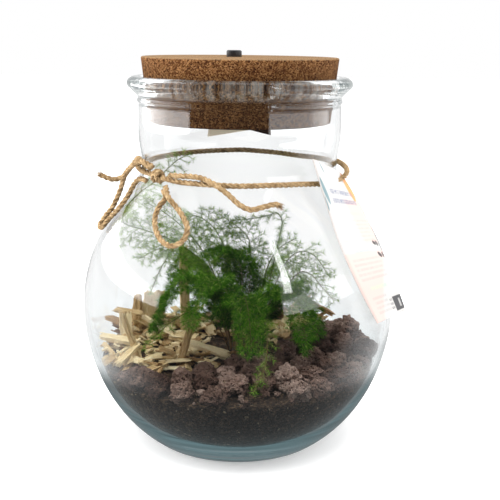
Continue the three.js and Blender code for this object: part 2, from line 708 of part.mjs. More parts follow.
// Where the chips meet the stones, seen from above: stones in front and on the right, chips left and behind
const edgeLine = [[-130, -22], [-100, -34], [-80, -52], [-50, -60], [-20, -46], [2, -30], [26, -12], [42, 18],
  [56, 45], [90, 60], [130, 66]];

function edgeAt(x) {
  const i = Math.max(edgeLine.findIndex((p) => p[0] > x), 1);
  const [[x0, y0], [x1, y1]] = [edgeLine[i - 1], edgeLine[i]];
  return y0 + ((y1 - y0) * (x - x0)) / (x1 - x0);
}

// The room above the soil, a little off the glass.
function bedRoom() {
  const side = innerSide.filter(([, z]) => z > SOIL_Z + 2 && z < 150).map(([r, z]) => [r - GAP * 1.1, z]);
  const low = [radiusAt(innerSide, SOIL_Z + GAP) - GAP * 1.1, SOIL_Z + GAP];
  return solid(turned([...bedFloor(GAP), low, ...side, [0, side[side.length - 1][1]]]));
}

// The ground in front of that line or behind it, as a slab that rises from the soil.
function ground(front, height) {
  const sign = front ? -1 : 1;
  const across = edgeLine.map(([x, y]) => [x, y + (sign * BED_SEAM) / 2]);
  const [[left], [right]] = [edgeLine[0], edgeLine[edgeLine.length - 1]];
  const corners = [...across, [right, sign * BED_FAR], [left, sign * BED_FAR]];
  const shape = new THREE.Shape(corners.map(([x, y]) => plan(x, y)));
  const slab = new THREE.ExtrudeGeometry(shape, { depth: height + 0.5, bevelEnabled: false });
  return solid(slab.translate(0, 0, SOIL_Z - 0.5));
}

// Stones lie in rings, each turned and shaped by the draw. The hanging tip's place stays free.
function placeStones() {
  const draw = drawFrom(7);
  const stones = [];
  for (const ring of [95, 79, 63, 47, 31]) {
    const count = Math.round((2 * Math.PI * ring) / (2 * STONE_R + STONE_APART));
    for (let i = 0; i < count; i++) {
      const a = (2 * Math.PI * (i + 0.3 * draw())) / count;
      const r = ring - 2 * draw();
      const [x, y] = [r * Math.cos(a), r * Math.sin(a)];
      const size = STONE_R * (0.82 + 0.36 * draw());
      const heap = x > 30 && y > -30 ? 4 * draw() : 0;
      const z = soilTop(r) + size * 0.5 + heap;
      const spin = draw() * 6.28;
      const nearTip = Math.hypot(x - TIP.x, y - TIP.y) < TIP.room;
      if (y < edgeAt(x) - 7 && !nearTip) stones.push({ x, y, z, size, spin });
    }
  }
  return stones;
}

function stoneGeometry({ x, y, z, size, spin }, index) {
  const draw = drawFrom(100 + index);
  const raw = new THREE.IcosahedronGeometry(1, 0);
  raw.deleteAttribute("normal");
  raw.deleteAttribute("uv");
  const stone = mergeVertices(raw, 1e-4);
  const place = stone.attributes.position;
  for (let i = 0; i < place.count; i++) {
    const k = size * (0.9 + 0.28 * draw());
    place.setXYZ(i, place.getX(i) * k, place.getY(i) * k, place.getZ(i) * k);
  }
  return stone.rotateX(spin).rotateZ(spin * 1.7).scale(1, 1, 0.92).translate(x, y, z);
}

// Chips lie flat and crossed on the left and behind; the large slats are placed one by one.
const slats = [
  { at: [-67, 45, 77], size: [19, 24, 4.5], yaw: 8, pitch: 84, roll: 4 },
  { at: [-80, 38, 76], size: [8, 24, 3], yaw: -6, pitch: 80, roll: 0 },
  { at: [-85, 12, 70], size: [9, 22, 2.6], yaw: 10, pitch: 78, roll: 5 },
  { at: [-75, -26, 76], size: [5, 35, 3], yaw: 90, pitch: 72, roll: 80 },
  { at: [-93, 22, 74], size: [13, 18, 2.6], yaw: 70, pitch: 12, roll: 10 },
  { at: [-88, -8, 70], size: [9, 22, 2.6], yaw: 85, pitch: 8, roll: -6 },
  { at: [-85, 24, 81], size: [9, 19, 2.4], yaw: 80, pitch: 6, roll: 0 },
  { at: [-62, 20, 72], size: [5, 26, 2.6], yaw: 55, pitch: 14, roll: 8 },
  { at: [-76, -38, 69], size: [5, 22, 2.4], yaw: -30, pitch: 20, roll: 0 },
  { at: [-36, -30, 76], size: [5, 34, 3], yaw: -30, pitch: 58, roll: 0 },
  { at: [-21, -26, 70], size: [6, 28, 2.6], yaw: -112, pitch: -9, roll: 16 },
  { at: [-42, 34, 91], size: [7, 64, 2.6], yaw: 14, pitch: 80, roll: 6 },
  { at: [64, 66, 74], size: [8, 26, 2.8], yaw: 60, pitch: 18, roll: 14 },
  { at: [46, 58, 76], size: [9, 22, 2.6], yaw: -40, pitch: 30, roll: 0 },
];

function placeChips() {
  const draw = drawFrom(21);
  const chips = [...slats];
  for (let gx = -96; gx <= 96; gx += CHIP_EVERY) {
    for (let gy = -54; gy <= 96; gy += CHIP_EVERY) {
      const [x, y] = [gx + 8 * (draw() - 0.5), gy + 8 * (draw() - 0.5)];
      const size = [4.5 + 4.5 * draw(), 15 + 14 * draw(), 1.8 + 1.4 * draw()];
      const [yaw, pitch, roll] = [360 * draw(), 26 * (draw() - 0.3), 50 * (draw() - 0.5)];
      const lift = 3 + 5 * draw();
      const clearOfCrown = Math.hypot(x - CROWN[0], y - CROWN[1]) > CROWN_R + 9;
      if (y > edgeAt(x) + 6 && Math.hypot(x, y) < 92 && clearOfCrown) {
        chips.push({ at: [x, y, SOIL_Z + lift], size, yaw, pitch, roll });
      }
    }
  }
  return chips;
}

const toRadians = THREE.MathUtils.degToRad;
const turnOf = ({ yaw, pitch, roll }) =>
  new THREE.Euler(toRadians(pitch), toRadians(roll), toRadians(yaw), "ZXY");

// A chip is a board that narrows towards one end.
function chipGeometry(chip) {
  const [w, l, t] = chip.size;
  const outline = new THREE.Shape([plan(-w / 2, -l / 2), plan(w / 2, -l / 2 + w * 0.3), plan(w * 0.42, l / 2),
    plan(-w * 0.3, l / 2 - w * 0.25)]);
  const board = new THREE.ExtrudeGeometry(outline, { depth: t, bevelEnabled: false }).translate(0, 0, -t / 2);
  board.applyQuaternion(new THREE.Quaternion().setFromEuler(turnOf(chip)));
  return board.translate(...chip.at);
}

function addBed() {
  const room = bedRoom();
  const stones = placeStones();
  const chips = placeChips();
  for (const { x, y, z, size } of stones) {
    const middle = new THREE.Vector3(x, y, z);
    claim("bed", middle, middle, size * 1.05);
  }
  for (const chip of chips) {
    const half = new THREE.Vector3(0, chip.size[1] / 2, 0).applyEuler(turnOf(chip));
    const middle = vec(chip.at);
    claim("bed", middle.clone().add(half), middle.clone().sub(half), chip.size[0] / 2);
  }
  const lava = fuse([ground(true, BED_DEEP), ...stones.map((stone, i) => solid(stoneGeometry(stone, i)))]);
  addSolid("lava_stones", lava.intersect(room).intersect(ground(true, BED_TALL)), "#5b4540", 0.95);
  const crown = solid(disc(CROWN_R, SOIL_Z - 5, SOIL_Z + BED_TALL, 12).translate(CROWN[0], CROWN[1], 0));
  const mulch = fuse([ground(false, BED_DEEP), ...chips.map((chip) => solid(chipGeometry(chip)))]);
  const back = ground(false, BED_TALL).subtract(crown);
  addSolid("wood_chips", mulch.intersect(room).intersect(back), "#d2b486", 0.85);
}

addJar();
addStopper();
addLamp();
addPatch();
addTwine();
addTag();
addSoil();
addBed();
fronds.forEach(claimStem);
fronds.forEach((frond, i) => growFrond(frond, 31 + i));

export default root;
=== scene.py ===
# %% [markdown]
# # Glass plant terrarium
# A round-bellied jar is closed by a cork that holds a small lamp. Twine and a card tag hang at its
# neck. Inside, an asparagus fern grows in dark soil under lava stones and wood chips. The packed
# model gives every size and place, and each cell below dresses one piece of it.

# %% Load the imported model
import math

import bmesh
import bpy
import numpy as np
from mathutils import Matrix, Vector, noise


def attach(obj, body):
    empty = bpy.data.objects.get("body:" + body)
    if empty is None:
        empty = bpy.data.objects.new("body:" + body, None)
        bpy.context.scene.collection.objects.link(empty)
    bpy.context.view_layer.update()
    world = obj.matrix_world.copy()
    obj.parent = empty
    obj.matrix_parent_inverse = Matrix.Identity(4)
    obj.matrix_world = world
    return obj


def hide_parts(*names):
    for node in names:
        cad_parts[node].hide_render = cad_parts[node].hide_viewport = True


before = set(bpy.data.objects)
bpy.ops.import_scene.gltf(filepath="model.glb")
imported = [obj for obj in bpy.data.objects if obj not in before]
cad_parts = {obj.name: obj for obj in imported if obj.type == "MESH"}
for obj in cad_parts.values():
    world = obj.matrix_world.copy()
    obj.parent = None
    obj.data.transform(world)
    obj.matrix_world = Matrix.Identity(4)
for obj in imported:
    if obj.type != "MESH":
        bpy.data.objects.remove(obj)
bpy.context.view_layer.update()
MM = 0.001
JAR, BUTTON = "terrarium", "button"

# %% [markdown]
# ## Camera
# The photo was taken from the front and a little above, with a long lens. The lens follows from the
# picture's width in pixels and the focal length in pixels, so that the jar's outline and the curve
# of its rim both fit.

# %% Camera
PHOTO_WIDTH_PX = 500
FOCAL_PX = 900
SENSOR_MM = 36
CAMERA_AT = (0.0082, -0.633, 0.286)
LOOK_DOWN = math.radians(13.32)
LEAN = math.radians(0.64)

lens = bpy.data.cameras.new("camera")
lens.sensor_width = SENSOR_MM
lens.lens = SENSOR_MM * FOCAL_PX / PHOTO_WIDTH_PX
camera = bpy.data.objects.new("camera", lens)
aim = Matrix.Rotation(math.pi / 2 - LOOK_DOWN, 4, "X") @ Matrix.Rotation(LEAN, 4, "Z")
camera.matrix_world = Matrix.Translation(CAMERA_AT) @ aim
bpy.context.scene.collection.objects.link(camera)
bpy.context.scene.camera = camera
print("lens", lens.lens, "mm")

# %% [markdown]
# ## Shader maths
# A pattern is easier to read as a sum than as a web of nodes. This class wraps a socket, and plus,
# minus and times on it add Math nodes. Every other node comes from one method.

# %% A socket that does maths
class Wire:
    def __init__(self, graph, socket):
        self.graph = graph
        self.socket = socket

    def math(self, operation, *others):
        return self.graph.wire("ShaderNodeMath", {"operation": operation}, dict(enumerate((self, *others))))

    def __add__(self, other):
        return self.math("ADD", other)

    def __sub__(self, other):
        return self.math("SUBTRACT", other)

    def __rsub__(self, other):
        return self.math("MULTIPLY", -1).math("ADD", other)

    def __mul__(self, other):
        return self.math("MULTIPLY", other)

    __radd__ = __add__
    __rmul__ = __mul__

    def smooth(self, low, high, to_low=0.0, to_high=1.0):
        """0 below low and 1 above high, or to_low and to_high, with a soft step between."""
        settings = {"interpolation_type": "SMOOTHSTEP"}
        return self.graph.wire("ShaderNodeMapRange", settings, {
            "Value": self, "From Min": low, "From Max": high, "To Min": to_low, "To Max": to_high})

    def between(self, low, high, soft):
        """1 inside a span and 0 outside it, with soft edges."""
        return self.smooth(low - soft, low + soft) * (1 - self.smooth(high - soft, high + soft))


# %% A graph of nodes
class Graph:
    """The nodes of a new material, or of a new world."""
    def __init__(self, name, among=bpy.data.materials):
        self.owner = among.new(name)
        self.owner.use_nodes = True
        self.tree = self.owner.node_tree
        self.tree.nodes.clear()

    def node(self, kind, settings=None, inputs=None):
        made = self.tree.nodes.new(kind)
        for key, value in (settings or {}).items():
            if key == "stops":
                ramp = made.color_ramp.elements
                while len(ramp) < len(value):
                    ramp.new(1.0)
                for stop, (place, colour) in zip(ramp, value):
                    stop.position = place
                    stop.color = (*colour, 1.0)
            else:
                setattr(made, key, value)
        for key, value in (inputs or {}).items():
            self.feed(made.inputs[key], value)
        return made

    def feed(self, socket, value):
        if isinstance(value, Wire):
            self.tree.links.new(value.socket, socket)
        elif socket.type == "RGBA" and len(value) == 3:
            socket.default_value = (*value, 1.0)
        else:
            socket.default_value = value

    def wire(self, kind, settings=None, inputs=None, output=0):
        return Wire(self, self.node(kind, settings, inputs).outputs[output])

    def place(self):
        return self.wire("ShaderNodeTexCoord", output="Object")

    def axes(self, place=None):
        """The x, y and z of a place, as three wires."""
        split = self.node("ShaderNodeSeparateXYZ", {}, {0: place or self.place()})
        return [Wire(self, socket) for socket in split.outputs]

    def red(self, colour):
        return self.wire("ShaderNodeSeparateColor", {}, {0: colour})

    def grey(self, value):
        return self.wire("ShaderNodeCombineColor", {}, {0: value, 1: value, 2: value})

    def shift(self, x, y):
        return self.wire("ShaderNodeCombineXYZ", {}, {0: x, 1: y})

    def ray(self, fact):
        return self.wire("ShaderNodeLightPath", output=fact)

    def attribute(self, name, output="Fac"):
        return self.wire("ShaderNodeAttribute", {"attribute_name": name}, output=output)

    def stretched(self, factors):
        return self.wire("ShaderNodeMapping", {"vector_type": "POINT"}, {
            "Vector": self.place(), "Scale": factors})

    def noise(self, scale, detail=3.0, rough=0.5, at=None):
        return self.wire("ShaderNodeTexNoise", {}, {
            "Vector": at or self.place(), "Scale": scale, "Detail": detail, "Roughness": rough})

    def cells(self, scale, feature="F1", output="Distance", at=None):
        return self.wire("ShaderNodeTexVoronoi", {"feature": feature}, {
            "Vector": at or self.place(), "Scale": scale}, output)

    def ramp(self, value, stops):
        return self.wire("ShaderNodeValToRGB", {"stops": stops}, {0: value})

    def mix(self, amount, first, second, blend="MIX"):
        settings = {"data_type": "RGBA", "blend_type": blend}
        return self.wire("ShaderNodeMix", settings, {0: amount, 6: first, 7: second}, 2)

    def bump(self, height, distance, strength=1.0):
        return self.wire("ShaderNodeBump", {}, {"Height": height, "Distance": distance, "Strength": strength})

    def surface(self, inputs, shadows_pass=None):
        """Ends the material in a Principled shader. Lamps shine through glass in the colour shadows_pass."""
        shader = self.wire("ShaderNodeBsdfPrincipled", {}, inputs)
        if shadows_pass:
            lamps = self.ray("Is Shadow Ray")
            clear = self.wire("ShaderNodeBsdfTransparent", {}, {"Color": shadows_pass})
            shader = self.wire("ShaderNodeMixShader", {}, {0: lamps, 1: shader, 2: clear})
        self.node("ShaderNodeOutputMaterial", {}, {"Surface": shader})
        return self.owner


# %% [markdown]
# ## Making pieces
# Everything is drawn in millimetres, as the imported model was, and made metres at the last moment. A
# piece rides on the body that carries it, names the finish that it wears, and takes the place of
# the plain solid it stands for.

# %% Showing a piece
def show(name, data):
    """A new object in the scene."""
    made = bpy.data.objects.new(name, data)
    bpy.context.scene.collection.objects.link(made)
    return made


def mesh_of(name, shape):
    mesh = bpy.data.meshes.new(name)
    shape.to_mesh(mesh)
    shape.free()
    return mesh


def link(node, mesh, materials, body=JAR):
    """Shows a mesh in place of a node."""
    for material in materials:
        mesh.materials.append(material)
    made = show(node + "_fine", mesh)
    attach(made, body)
    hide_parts(node)
    mesh.calc_loop_triangles()
    print(node, len(mesh.loop_triangles), "triangles")
    return made


def piece(node, shape, materials, body=JAR, smooth=True):
    bmesh.ops.scale(shape, vec=(MM, MM, MM), verts=shape.verts)
    mesh = mesh_of(node, shape)
    if smooth:
        mesh.shade_smooth()
    return link(node, mesh, materials, body)


# %% Shapes and lines
SEAM_MM = 1e-4
UP = Vector((0, 0, 1))


def closed_up(shape):
    """The shape with its seams joined and its faces turned outwards."""
    bmesh.ops.remove_doubles(shape, verts=shape.verts, dist=SEAM_MM)
    bmesh.ops.recalc_face_normals(shape, faces=shape.faces)
    return shape


def lathe(profile, around, closed=False):
    """A profile of (radius, height) points spun about the upright axis."""
    shape = bmesh.new()
    line = [shape.verts.new((r, 0, z)) for r, z in profile]
    pairs = list(zip(line, line[1:])) + ([(line[-1], line[0])] if closed else [])
    edges = [shape.edges.new(pair) for pair in pairs]
    bmesh.ops.spin(shape, geom=line + edges, cent=(0, 0, 0), axis=(0, 0, 1), angle=2 * math.pi, steps=around,
                   use_merge=True)
    return closed_up(shape)


def catmull(points, per):
    """The smooth line through given points, with per steps from each point to the next."""
    p = [Vector(point) for point in points]
    p = [2 * p[0] - p[1], *p, 2 * p[-1] - p[-2]]
    line = []
    for a, b, c, d in zip(p, p[1:], p[2:], p[3:]):
        for step in range(per):
            t = step / per
            start, end = (c - a) / 2, (d - b) / 2
            line.append((2 * t**3 - 3 * t**2 + 1) * b + (t**3 - 2 * t**2 + t) * start
                        + (3 * t**2 - 2 * t**3) * c + (t**3 - t**2) * end)
    return line + [p[-2]]


def length_of(line):
    return sum((b - a).length for a, b in zip(line, line[1:]))


def evenly(line, gap):
    """The same line with points an even gap apart."""
    far = np.concatenate([[0], np.cumsum([(b - a).length for a, b in zip(line, line[1:])])])
    at = np.linspace(0, far[-1], max(round(far[-1] / gap), 1) + 1)
    axes = [np.interp(at, far, [p[k] for p in line]) for k in range(3)]
    return [Vector(p) for p in zip(*axes)]


def draw_from(seed):
    """The seeded draw that the solids were placed with."""
    state = (seed * 7919 + 13) % 2147483647

    def draw():
        nonlocal state
        state = state * 16807 % 2147483647
        return state / 2147483647
    return draw


# %% [markdown]
# ## Jar outline
# The twine lies against the neck, so the outline comes before it. Foot to belly, belly to neck and
# neck to collar are each one smooth curve.

# %% Jar outline
FOOT_R, BELLY_R, BELLY_Z = 62.5, 111.2, 98
NECK_R, NECK_Z = 68.4, 200
COLLAR_R, COLLAR_Z = 70.6, 224
LIP_R, LIP_Z, RIM_Z = 78, 254.6, 259.4
WALL, FLOOR_R, FLOOR_Z = 3, 56, 6.5


def bezier(a, b, c, d, steps):
    a, b, c, d = (Vector(p) for p in (a, b, c, d))
    return [tuple((1 - t)**3 * a + 3 * (1 - t)**2 * t * b + 3 * (1 - t) * t**2 * c + t**3 * d)
            for t in (i / steps for i in range(steps + 1))]


def jar_side(foot, low, belly, high, neck, collar, steps):
    """Rising (radius, height) points from the foot to the collar, each bend given its two handles."""
    return (bezier(foot, low[0], low[1], belly, steps) + bezier(belly, high[0], high[1], neck, steps)[1:]
            + bezier(neck, (neck[0], neck[1] + 9), (collar[0], collar[1] - 12), collar, steps // 3)[1:])


outer_side = jar_side(
    (FOOT_R, 0), [(FOOT_R + 33.6, 22.7), (BELLY_R, BELLY_Z - 34.6)], (BELLY_R, BELLY_Z),
    [(BELLY_R, BELLY_Z + 59), (NECK_R, NECK_Z - 22.2)], (NECK_R, NECK_Z), (COLLAR_R, COLLAR_Z), 36)
inner_side = jar_side(
    (FLOOR_R, FLOOR_Z), [(FLOOR_R + 29, FLOOR_Z + 8.5), (BELLY_R - WALL, BELLY_Z - 41)],
    (BELLY_R - WALL, BELLY_Z), [(BELLY_R - WALL, BELLY_Z + 58), (NECK_R - WALL, NECK_Z - 22.2)],
    (NECK_R - WALL, NECK_Z), (COLLAR_R - WALL, COLLAR_Z), 30)


def radius_at(side, z):
    return float(np.interp(z, [p[1] for p in side], [p[0] for p in side]))


print("belly", 2 * BELLY_R, "mm across, rim at", RIM_Z, "mm")

# %% [markdown]
# ## Twine
# Jute twine is three strands laid round each other. A tube with a three-lobed section that turns as
# it goes gives that in one closed surface: Blender sweeps a section curve along a path, and each
# point's tilt turns the section. Loose hairs stand off it, and its two cut ends fray.

# %% Jute material
def jute():
    g = Graph("jute")
    tone = g.noise(260, 4, 0.6)
    fibre = g.noise(1500, 3, 0.7)
    colour = g.ramp(tone * 0.55 + fibre * 0.45, [
        (0.3, (0.08, 0.042, 0.018)), (0.44, (0.22, 0.14, 0.066)), (0.57, (0.42, 0.29, 0.155)),
        (0.72, (0.72, 0.57, 0.36))])
    return g.surface({"Base Color": colour, "Roughness": 0.85, "Specular IOR Level": 0.25,
                      "Normal": g.bump(fibre, 0.0004, 0.7)})


JUTE = jute()
print("finish", JUTE.name)

# %% Strands
TWINE_R, LOBES = 1.9, 3
LAY_MM, TWINE_STEP = 11.5, 0.9


def swept(name, line, section, tilts):
    """The mesh of a flat section curve carried along a line and turned by tilts."""
    outline = bpy.data.curves.new(name + "_section", "CURVE")
    outline.dimensions = "2D"
    ring = outline.splines.new("POLY")
    ring.points.add(len(section) - 1)
    for point, (x, y) in zip(ring.points, section):
        point.co = (x, y, 0, 1)
    ring.use_cyclic_u = True
    holder = show(name + "_section", outline)
    path = bpy.data.curves.new(name + "_path", "CURVE")
    path.dimensions = "3D"
    path.bevel_mode = "OBJECT"
    path.bevel_object = holder
    path.use_fill_caps = True
    run = path.splines.new("POLY")
    run.points.add(len(line) - 1)
    for point, place, tilt in zip(run.points, line, tilts):
        point.co = (*place, 1)
        point.tilt = tilt
    carrier = show(name + "_path", path)
    mesh = bpy.data.meshes.new_from_object(carrier.evaluated_get(bpy.context.evaluated_depsgraph_get()))
    shape = bmesh.new()
    shape.from_mesh(mesh)
    for used in (carrier, holder):
        bpy.data.objects.remove(used)
    bpy.data.meshes.remove(mesh)
    return closed_up(shape)


def strands(radius):
    count = 24
    angles = [2 * math.pi * i / count for i in range(count)]
    reach = [radius * (0.52 + 0.48 * abs(math.cos(LOBES * a / 2)) ** 0.7) for a in angles]
    return [(r * math.cos(a), r * math.sin(a)) for r, a in zip(reach, angles)]


def lay(line, share):
    """How far the strands have turned at each point of a line."""
    return [2 * math.pi * share * i / LAY_MM for i in range(len(line))]


print("section of", len(strands(TWINE_R)), "points, one turn in", LAY_MM, "mm")

# %% Loose fibres
HAIR_R, HAIR_TIP_R, HAIR_MM, ROOTED = 0.07, 0.01, 2.2, 0.8
FRAY_R, FRAY_TIP_R, FRAY_ROOT, FRAY_WIDE = 0.26, 0.07, 1.8, 1.2


def add_fibre(shape, root, aim, size, thick, thin):
    """A three-sided fibre that stands on root."""
    turn = UP.rotation_difference(aim).to_matrix().to_4x4()
    bmesh.ops.create_cone(shape, cap_ends=True, segments=3, radius1=thick, radius2=thin, depth=size,
                          matrix=Matrix.Translation(root + aim * size / 2) @ turn)


def add_hairs(shape, line, count, reach, seed):
    """Hairs that leave the twine's surface, each a three-sided cone."""
    rng = np.random.default_rng(seed)
    for _ in range(count):
        i = rng.integers(1, len(line) - 1)
        along = (line[i + 1] - line[i - 1]).normalized()
        out = along.orthogonal().normalized()
        out.rotate(Matrix.Rotation(rng.uniform(0, 2 * math.pi), 3, along))
        heading = (out + along * rng.uniform(-1.2, 1.2)).normalized()
        size = rng.uniform(0.4, 1) * reach
        add_fibre(shape, line[i] + out * TWINE_R * ROOTED, heading, size, HAIR_R, HAIR_TIP_R)


def add_fray(shape, end, heading, count, reach, seed):
    """A splayed tuft of fibres at a cut end."""
    rng = np.random.default_rng(seed)
    for _ in range(count):
        spread = Vector(rng.uniform(-0.5, 0.5, 3))
        aim = (heading + spread).normalized()
        size = reach * rng.uniform(0.45, 1)
        root = end - heading * FRAY_ROOT + Vector(rng.uniform(-FRAY_WIDE, FRAY_WIDE, 3))
        add_fibre(shape, root, aim, size, FRAY_R, FRAY_TIP_R)


# %% Loose lengths
FRAY_MM, FIBRES, FRAY_PAST = 5.2, 46, 1.2


def free_twine(name, points, seed, fray=0):
    """A loose length of twine. Its path runs on through the frayed end."""
    line = evenly(catmull(points, 12), TWINE_STEP)
    shape = swept(name, line, strands(TWINE_R), lay(line, TWINE_STEP))
    add_hairs(shape, line, round(len(line) * 1.1), HAIR_MM, seed)
    if fray:
        heading = (line[-1] - line[-3]).normalized()
        add_fray(shape, line[-1], heading, FIBRES, fray, seed + 1)
        line.append(line[-1] + heading * FRAY_PAST)
    made = piece(name, shape, [JUTE])
    path = [p * MM for p in line]
    length_of(path)
    print(name, round(length_of(line)), "mm long")


# %% Bow and tails
LOOP_LEFT = [
    (-56, -48, 202.8), (-62.8, -41.9, 205), (-67.3, -34, 204.3), (-75.1, -24, 197.5),
    (-78.6, -20, 192.1), (-82.4, -18, 181.1), (-87.5, -18, 170.2), (-92.8, -17, 163.5),
    (-96.8, -17, 157.4), (-94.5, -24, 156.8), (-88.8, -25.5, 163.5), (-80.9, -29.2, 172.2),
    (-75.4, -28.1, 179.8), (-71, -25.5, 187.8), (-67, -29.8, 191.9), (-61.5, -39.2, 192.3)]
LOOP_FRONT = [
    (-46.6, -58.4, 191.2), (-44.2, -67.4, 186.1), (-39.4, -70.9, 181), (-35.1, -75.4, 176.4),
    (-31.3, -81.8, 170.1), (-32.2, -85.9, 164.1), (-36.2, -87.1, 160.2), (-41.3, -86.1, 158.5),
    (-47.3, -81.5, 160.6), (-51.5, -74.5, 165.9), (-52.8, -67.3, 172.8), (-50.4, -63.3, 179.3),
    (-46.4, -61.9, 184.7), (-48.2, -57.1, 188.7)]
TAIL_RIGHT = [
    (-44.2, -57.4, 198.6), (-38.2, -60.8, 198.8), (-30.2, -65, 199.2), (-23.1, -69.6, 198.9),
    (-17.2, -74.2, 197.2), (-12.1, -76.4, 194.4), (-6, -76.4, 189.8), (1.3, -78.1, 183.6),
    (8.5, -79.2, 180.7), (15.8, -77.3, 182), (23.5, -74.4, 183.4), (26.4, -74.5, 182.5)]
TAIL_LEFT = [
    (-58.3, -41, 200.6), (-65.8, -29.1, 204.1), (-70, -16.1, 203.6), (-76.6, -7, 195.5),
    (-81.8, -5, 189.5), (-88.8, -6, 187.5), (-97.3, -8, 190.8)]

free_twine("twine_bow_left", LOOP_LEFT, 11)
free_twine("twine_bow_front", LOOP_FRONT, 12)
free_twine("twine_tail_right", TAIL_RIGHT, 13, FRAY_MM)
free_twine("twine_tail_left", TAIL_LEFT, 14, FRAY_MM)

# %% Band round the neck, with its knot
TWINE_OFF = TWINE_R + 0.5
# Bearing and height of the band's line, and its distance off the glass where that is more than
# TWINE_OFF
BAND = [
    (226, 195.4), (238, 194.2), (254, 194), (270, 193.6), (287, 193.9), (303, 193.3), (314, 192.2),
    (321, 191.2, 2.9), (327, 190.6, 5), (333, 191.4, 8), (339, 194.5, 9.4), (346, 198.5, 7.4),
    (355, 200, 4), (366, 200), (385, 199.2), (409, 198.2), (430, 199.2), (450, 200), (490, 199),
    (527, 198.2), (552, 197), (568, 196.6), (580, 196.4)]
BAND_STEP, BAND_HAIRS = 9, 420
BRIDGED = [(*row, TWINE_OFF)[:3] for row in BAND]
KNOT = (223, 196)


def off_jar(bearing, z, off):
    """A point off the jar's outside, at a bearing in degrees from +X."""
    slope = (radius_at(outer_side, z + 3) - radius_at(outer_side, z - 3)) / 6
    lean = math.hypot(1, slope)
    r = radius_at(outer_side, z) + off / lean
    a = math.radians(bearing)
    return Vector((r * math.cos(a), r * math.sin(a), z - off * slope / lean))


def band_route():
    route = []
    for start, end in zip(BRIDGED, BRIDGED[1:]):
        count = max(round((end[0] - start[0]) / BAND_STEP), 1)
        route += [off_jar(*(a + (b - a) * k / count for a, b in zip(start, end))) for k in range(count)]
    return route + [off_jar(*BRIDGED[-1])]


def add_knot(shape):
    """Two turns of twine drawn tight round the crossing."""
    centre = off_jar(*KNOT, TWINE_OFF + 0.7)
    bearing = math.radians(KNOT[0])
    out = Vector((math.cos(bearing), math.sin(bearing), 0))
    side = Vector((-math.sin(bearing), math.cos(bearing), 0))
    for shift, tilt in ((-2.2, 0.35), (1.9, -0.25)):
        ring = [centre + side * (shift + tilt * 2.4 * math.sin(a)) + out * 2.7 * math.cos(a)
                + UP * (3.1 * math.sin(a)) for a in (2 * math.pi * i / 40 for i in range(41))]
        mesh = mesh_of("wrap", swept("wrap", ring, strands(TWINE_R * 0.92), lay(ring, 0.6)))
        shape.from_mesh(mesh)
        bpy.data.meshes.remove(mesh)


band_line = evenly(catmull(band_route(), 12), TWINE_STEP)
band = swept("band", band_line, strands(TWINE_R), lay(band_line, TWINE_STEP))
add_hairs(band, band_line, BAND_HAIRS, HAIR_MM, 10)
add_knot(band)
piece("twine_band", band, [JUTE])

# %% [markdown]
# ## Jar
# The glass is a real wall with an inside and an outside, so that light bends in the thick lip and
# foot and passes almost straight through the thin sides. Lamps are let through it, or the plant
# would stand in the dark. A painted teal glow stands in for light led along inside the wall, and a
# painted glint for light caught just under the lip.

# %% Glass
def glass():
    g = Graph("clear_glass")
    z = g.axes()[2]
    tint = g.ramp(z * 3.8, [
        (0.0, (0.66, 0.82, 0.87)), (0.08, (0.74, 0.86, 0.89)), (0.2, (0.9, 0.95, 0.96)),
        (0.4, (0.966, 0.972, 0.974)), (0.9, (0.966, 0.972, 0.974)), (0.97, (0.93, 0.955, 0.965))])
    waves = g.noise(26, 1, 0.4)
    streaks = g.noise(1, 3, 0.5, at=g.stretched((18, 18, 420))) * z.smooth(0.006, 0.013, 1.0, 0.0)
    ribs = g.noise(1, 3, 0.6, at=g.stretched((110, 110, 16))) * z.smooth(0.238, 0.246)
    layers = g.noise(1, 4, 0.6, at=g.stretched((7, 7, 700))).smooth(0.42, 0.58, 0.3, 1.25)
    # Painted light: light led along inside the wall is painted as a teal glow in streaks, strongest low down,
    # and a band just under the lip carries a painted glint.
    painted_guided_glow = g.ray("Glossy Depth").smooth(1.5, 3.2) * z.smooth(0.03, 0.1, 1.0, 0.5)
    painted_glow = g.mix(painted_guided_glow * layers, (0, 0, 0), (0.046, 0.074, 0.08))
    painted_rim_glint = g.noise(1, 3, 0.6, at=g.stretched((210, 210, 40))).smooth(0.42, 0.62) * z.smooth(0.2465, 0.2495)
    painted_glow = g.mix(painted_rim_glint, painted_glow, (0.09, 0.095, 0.09))
    return g.surface({"Base Color": tint, "Roughness": 0.0, "IOR": 1.47, "Transmission Weight": 1.0,
                      "Emission Color": painted_glow, "Emission Strength": 1.0,
                      "Normal": g.bump(waves * 0.6 + streaks + ribs * 0.7, 0.0012, 0.35)},
                     shadows_pass=(0.96, 0.975, 0.975))


AROUND = 128
LIP = [
    (COLLAR_R - 0.4, RIM_Z - 18), (COLLAR_R + 0.7, RIM_Z - 16.4), (COLLAR_R + 0.4, RIM_Z - 13.2),
    (LIP_R - 0.8, LIP_Z - 2), (LIP_R, LIP_Z), (LIP_R - 1, LIP_Z + 2.8), (LIP_R - 4.5, RIM_Z),
    (COLLAR_R - 1.8, RIM_Z), (COLLAR_R - WALL - 0.6, RIM_Z - 1.4)]
lip = [(p.x, p.z) for p in catmull([(r, 0, z) for r, z in LIP], 4)]
lip = [(min(r, LIP_R), min(z, RIM_Z)) for r, z in lip]


def straight(start, end, steps):
    """The points between two others, so that smooth shading keeps the wall between them straight."""
    return [tuple(a + (b - a) * k / steps for a, b in zip(start, end)) for k in range(1, steps)]


jar = lathe([(0, 0), (FOOT_R - 1, 0), *outer_side[1:], *straight(outer_side[-1], lip[0], 8), *lip,
             *straight(lip[-1], inner_side[-1], 14), *reversed(inner_side), (0, FLOOR_Z)], AROUND)
piece("jar_glass", jar, [glass()])
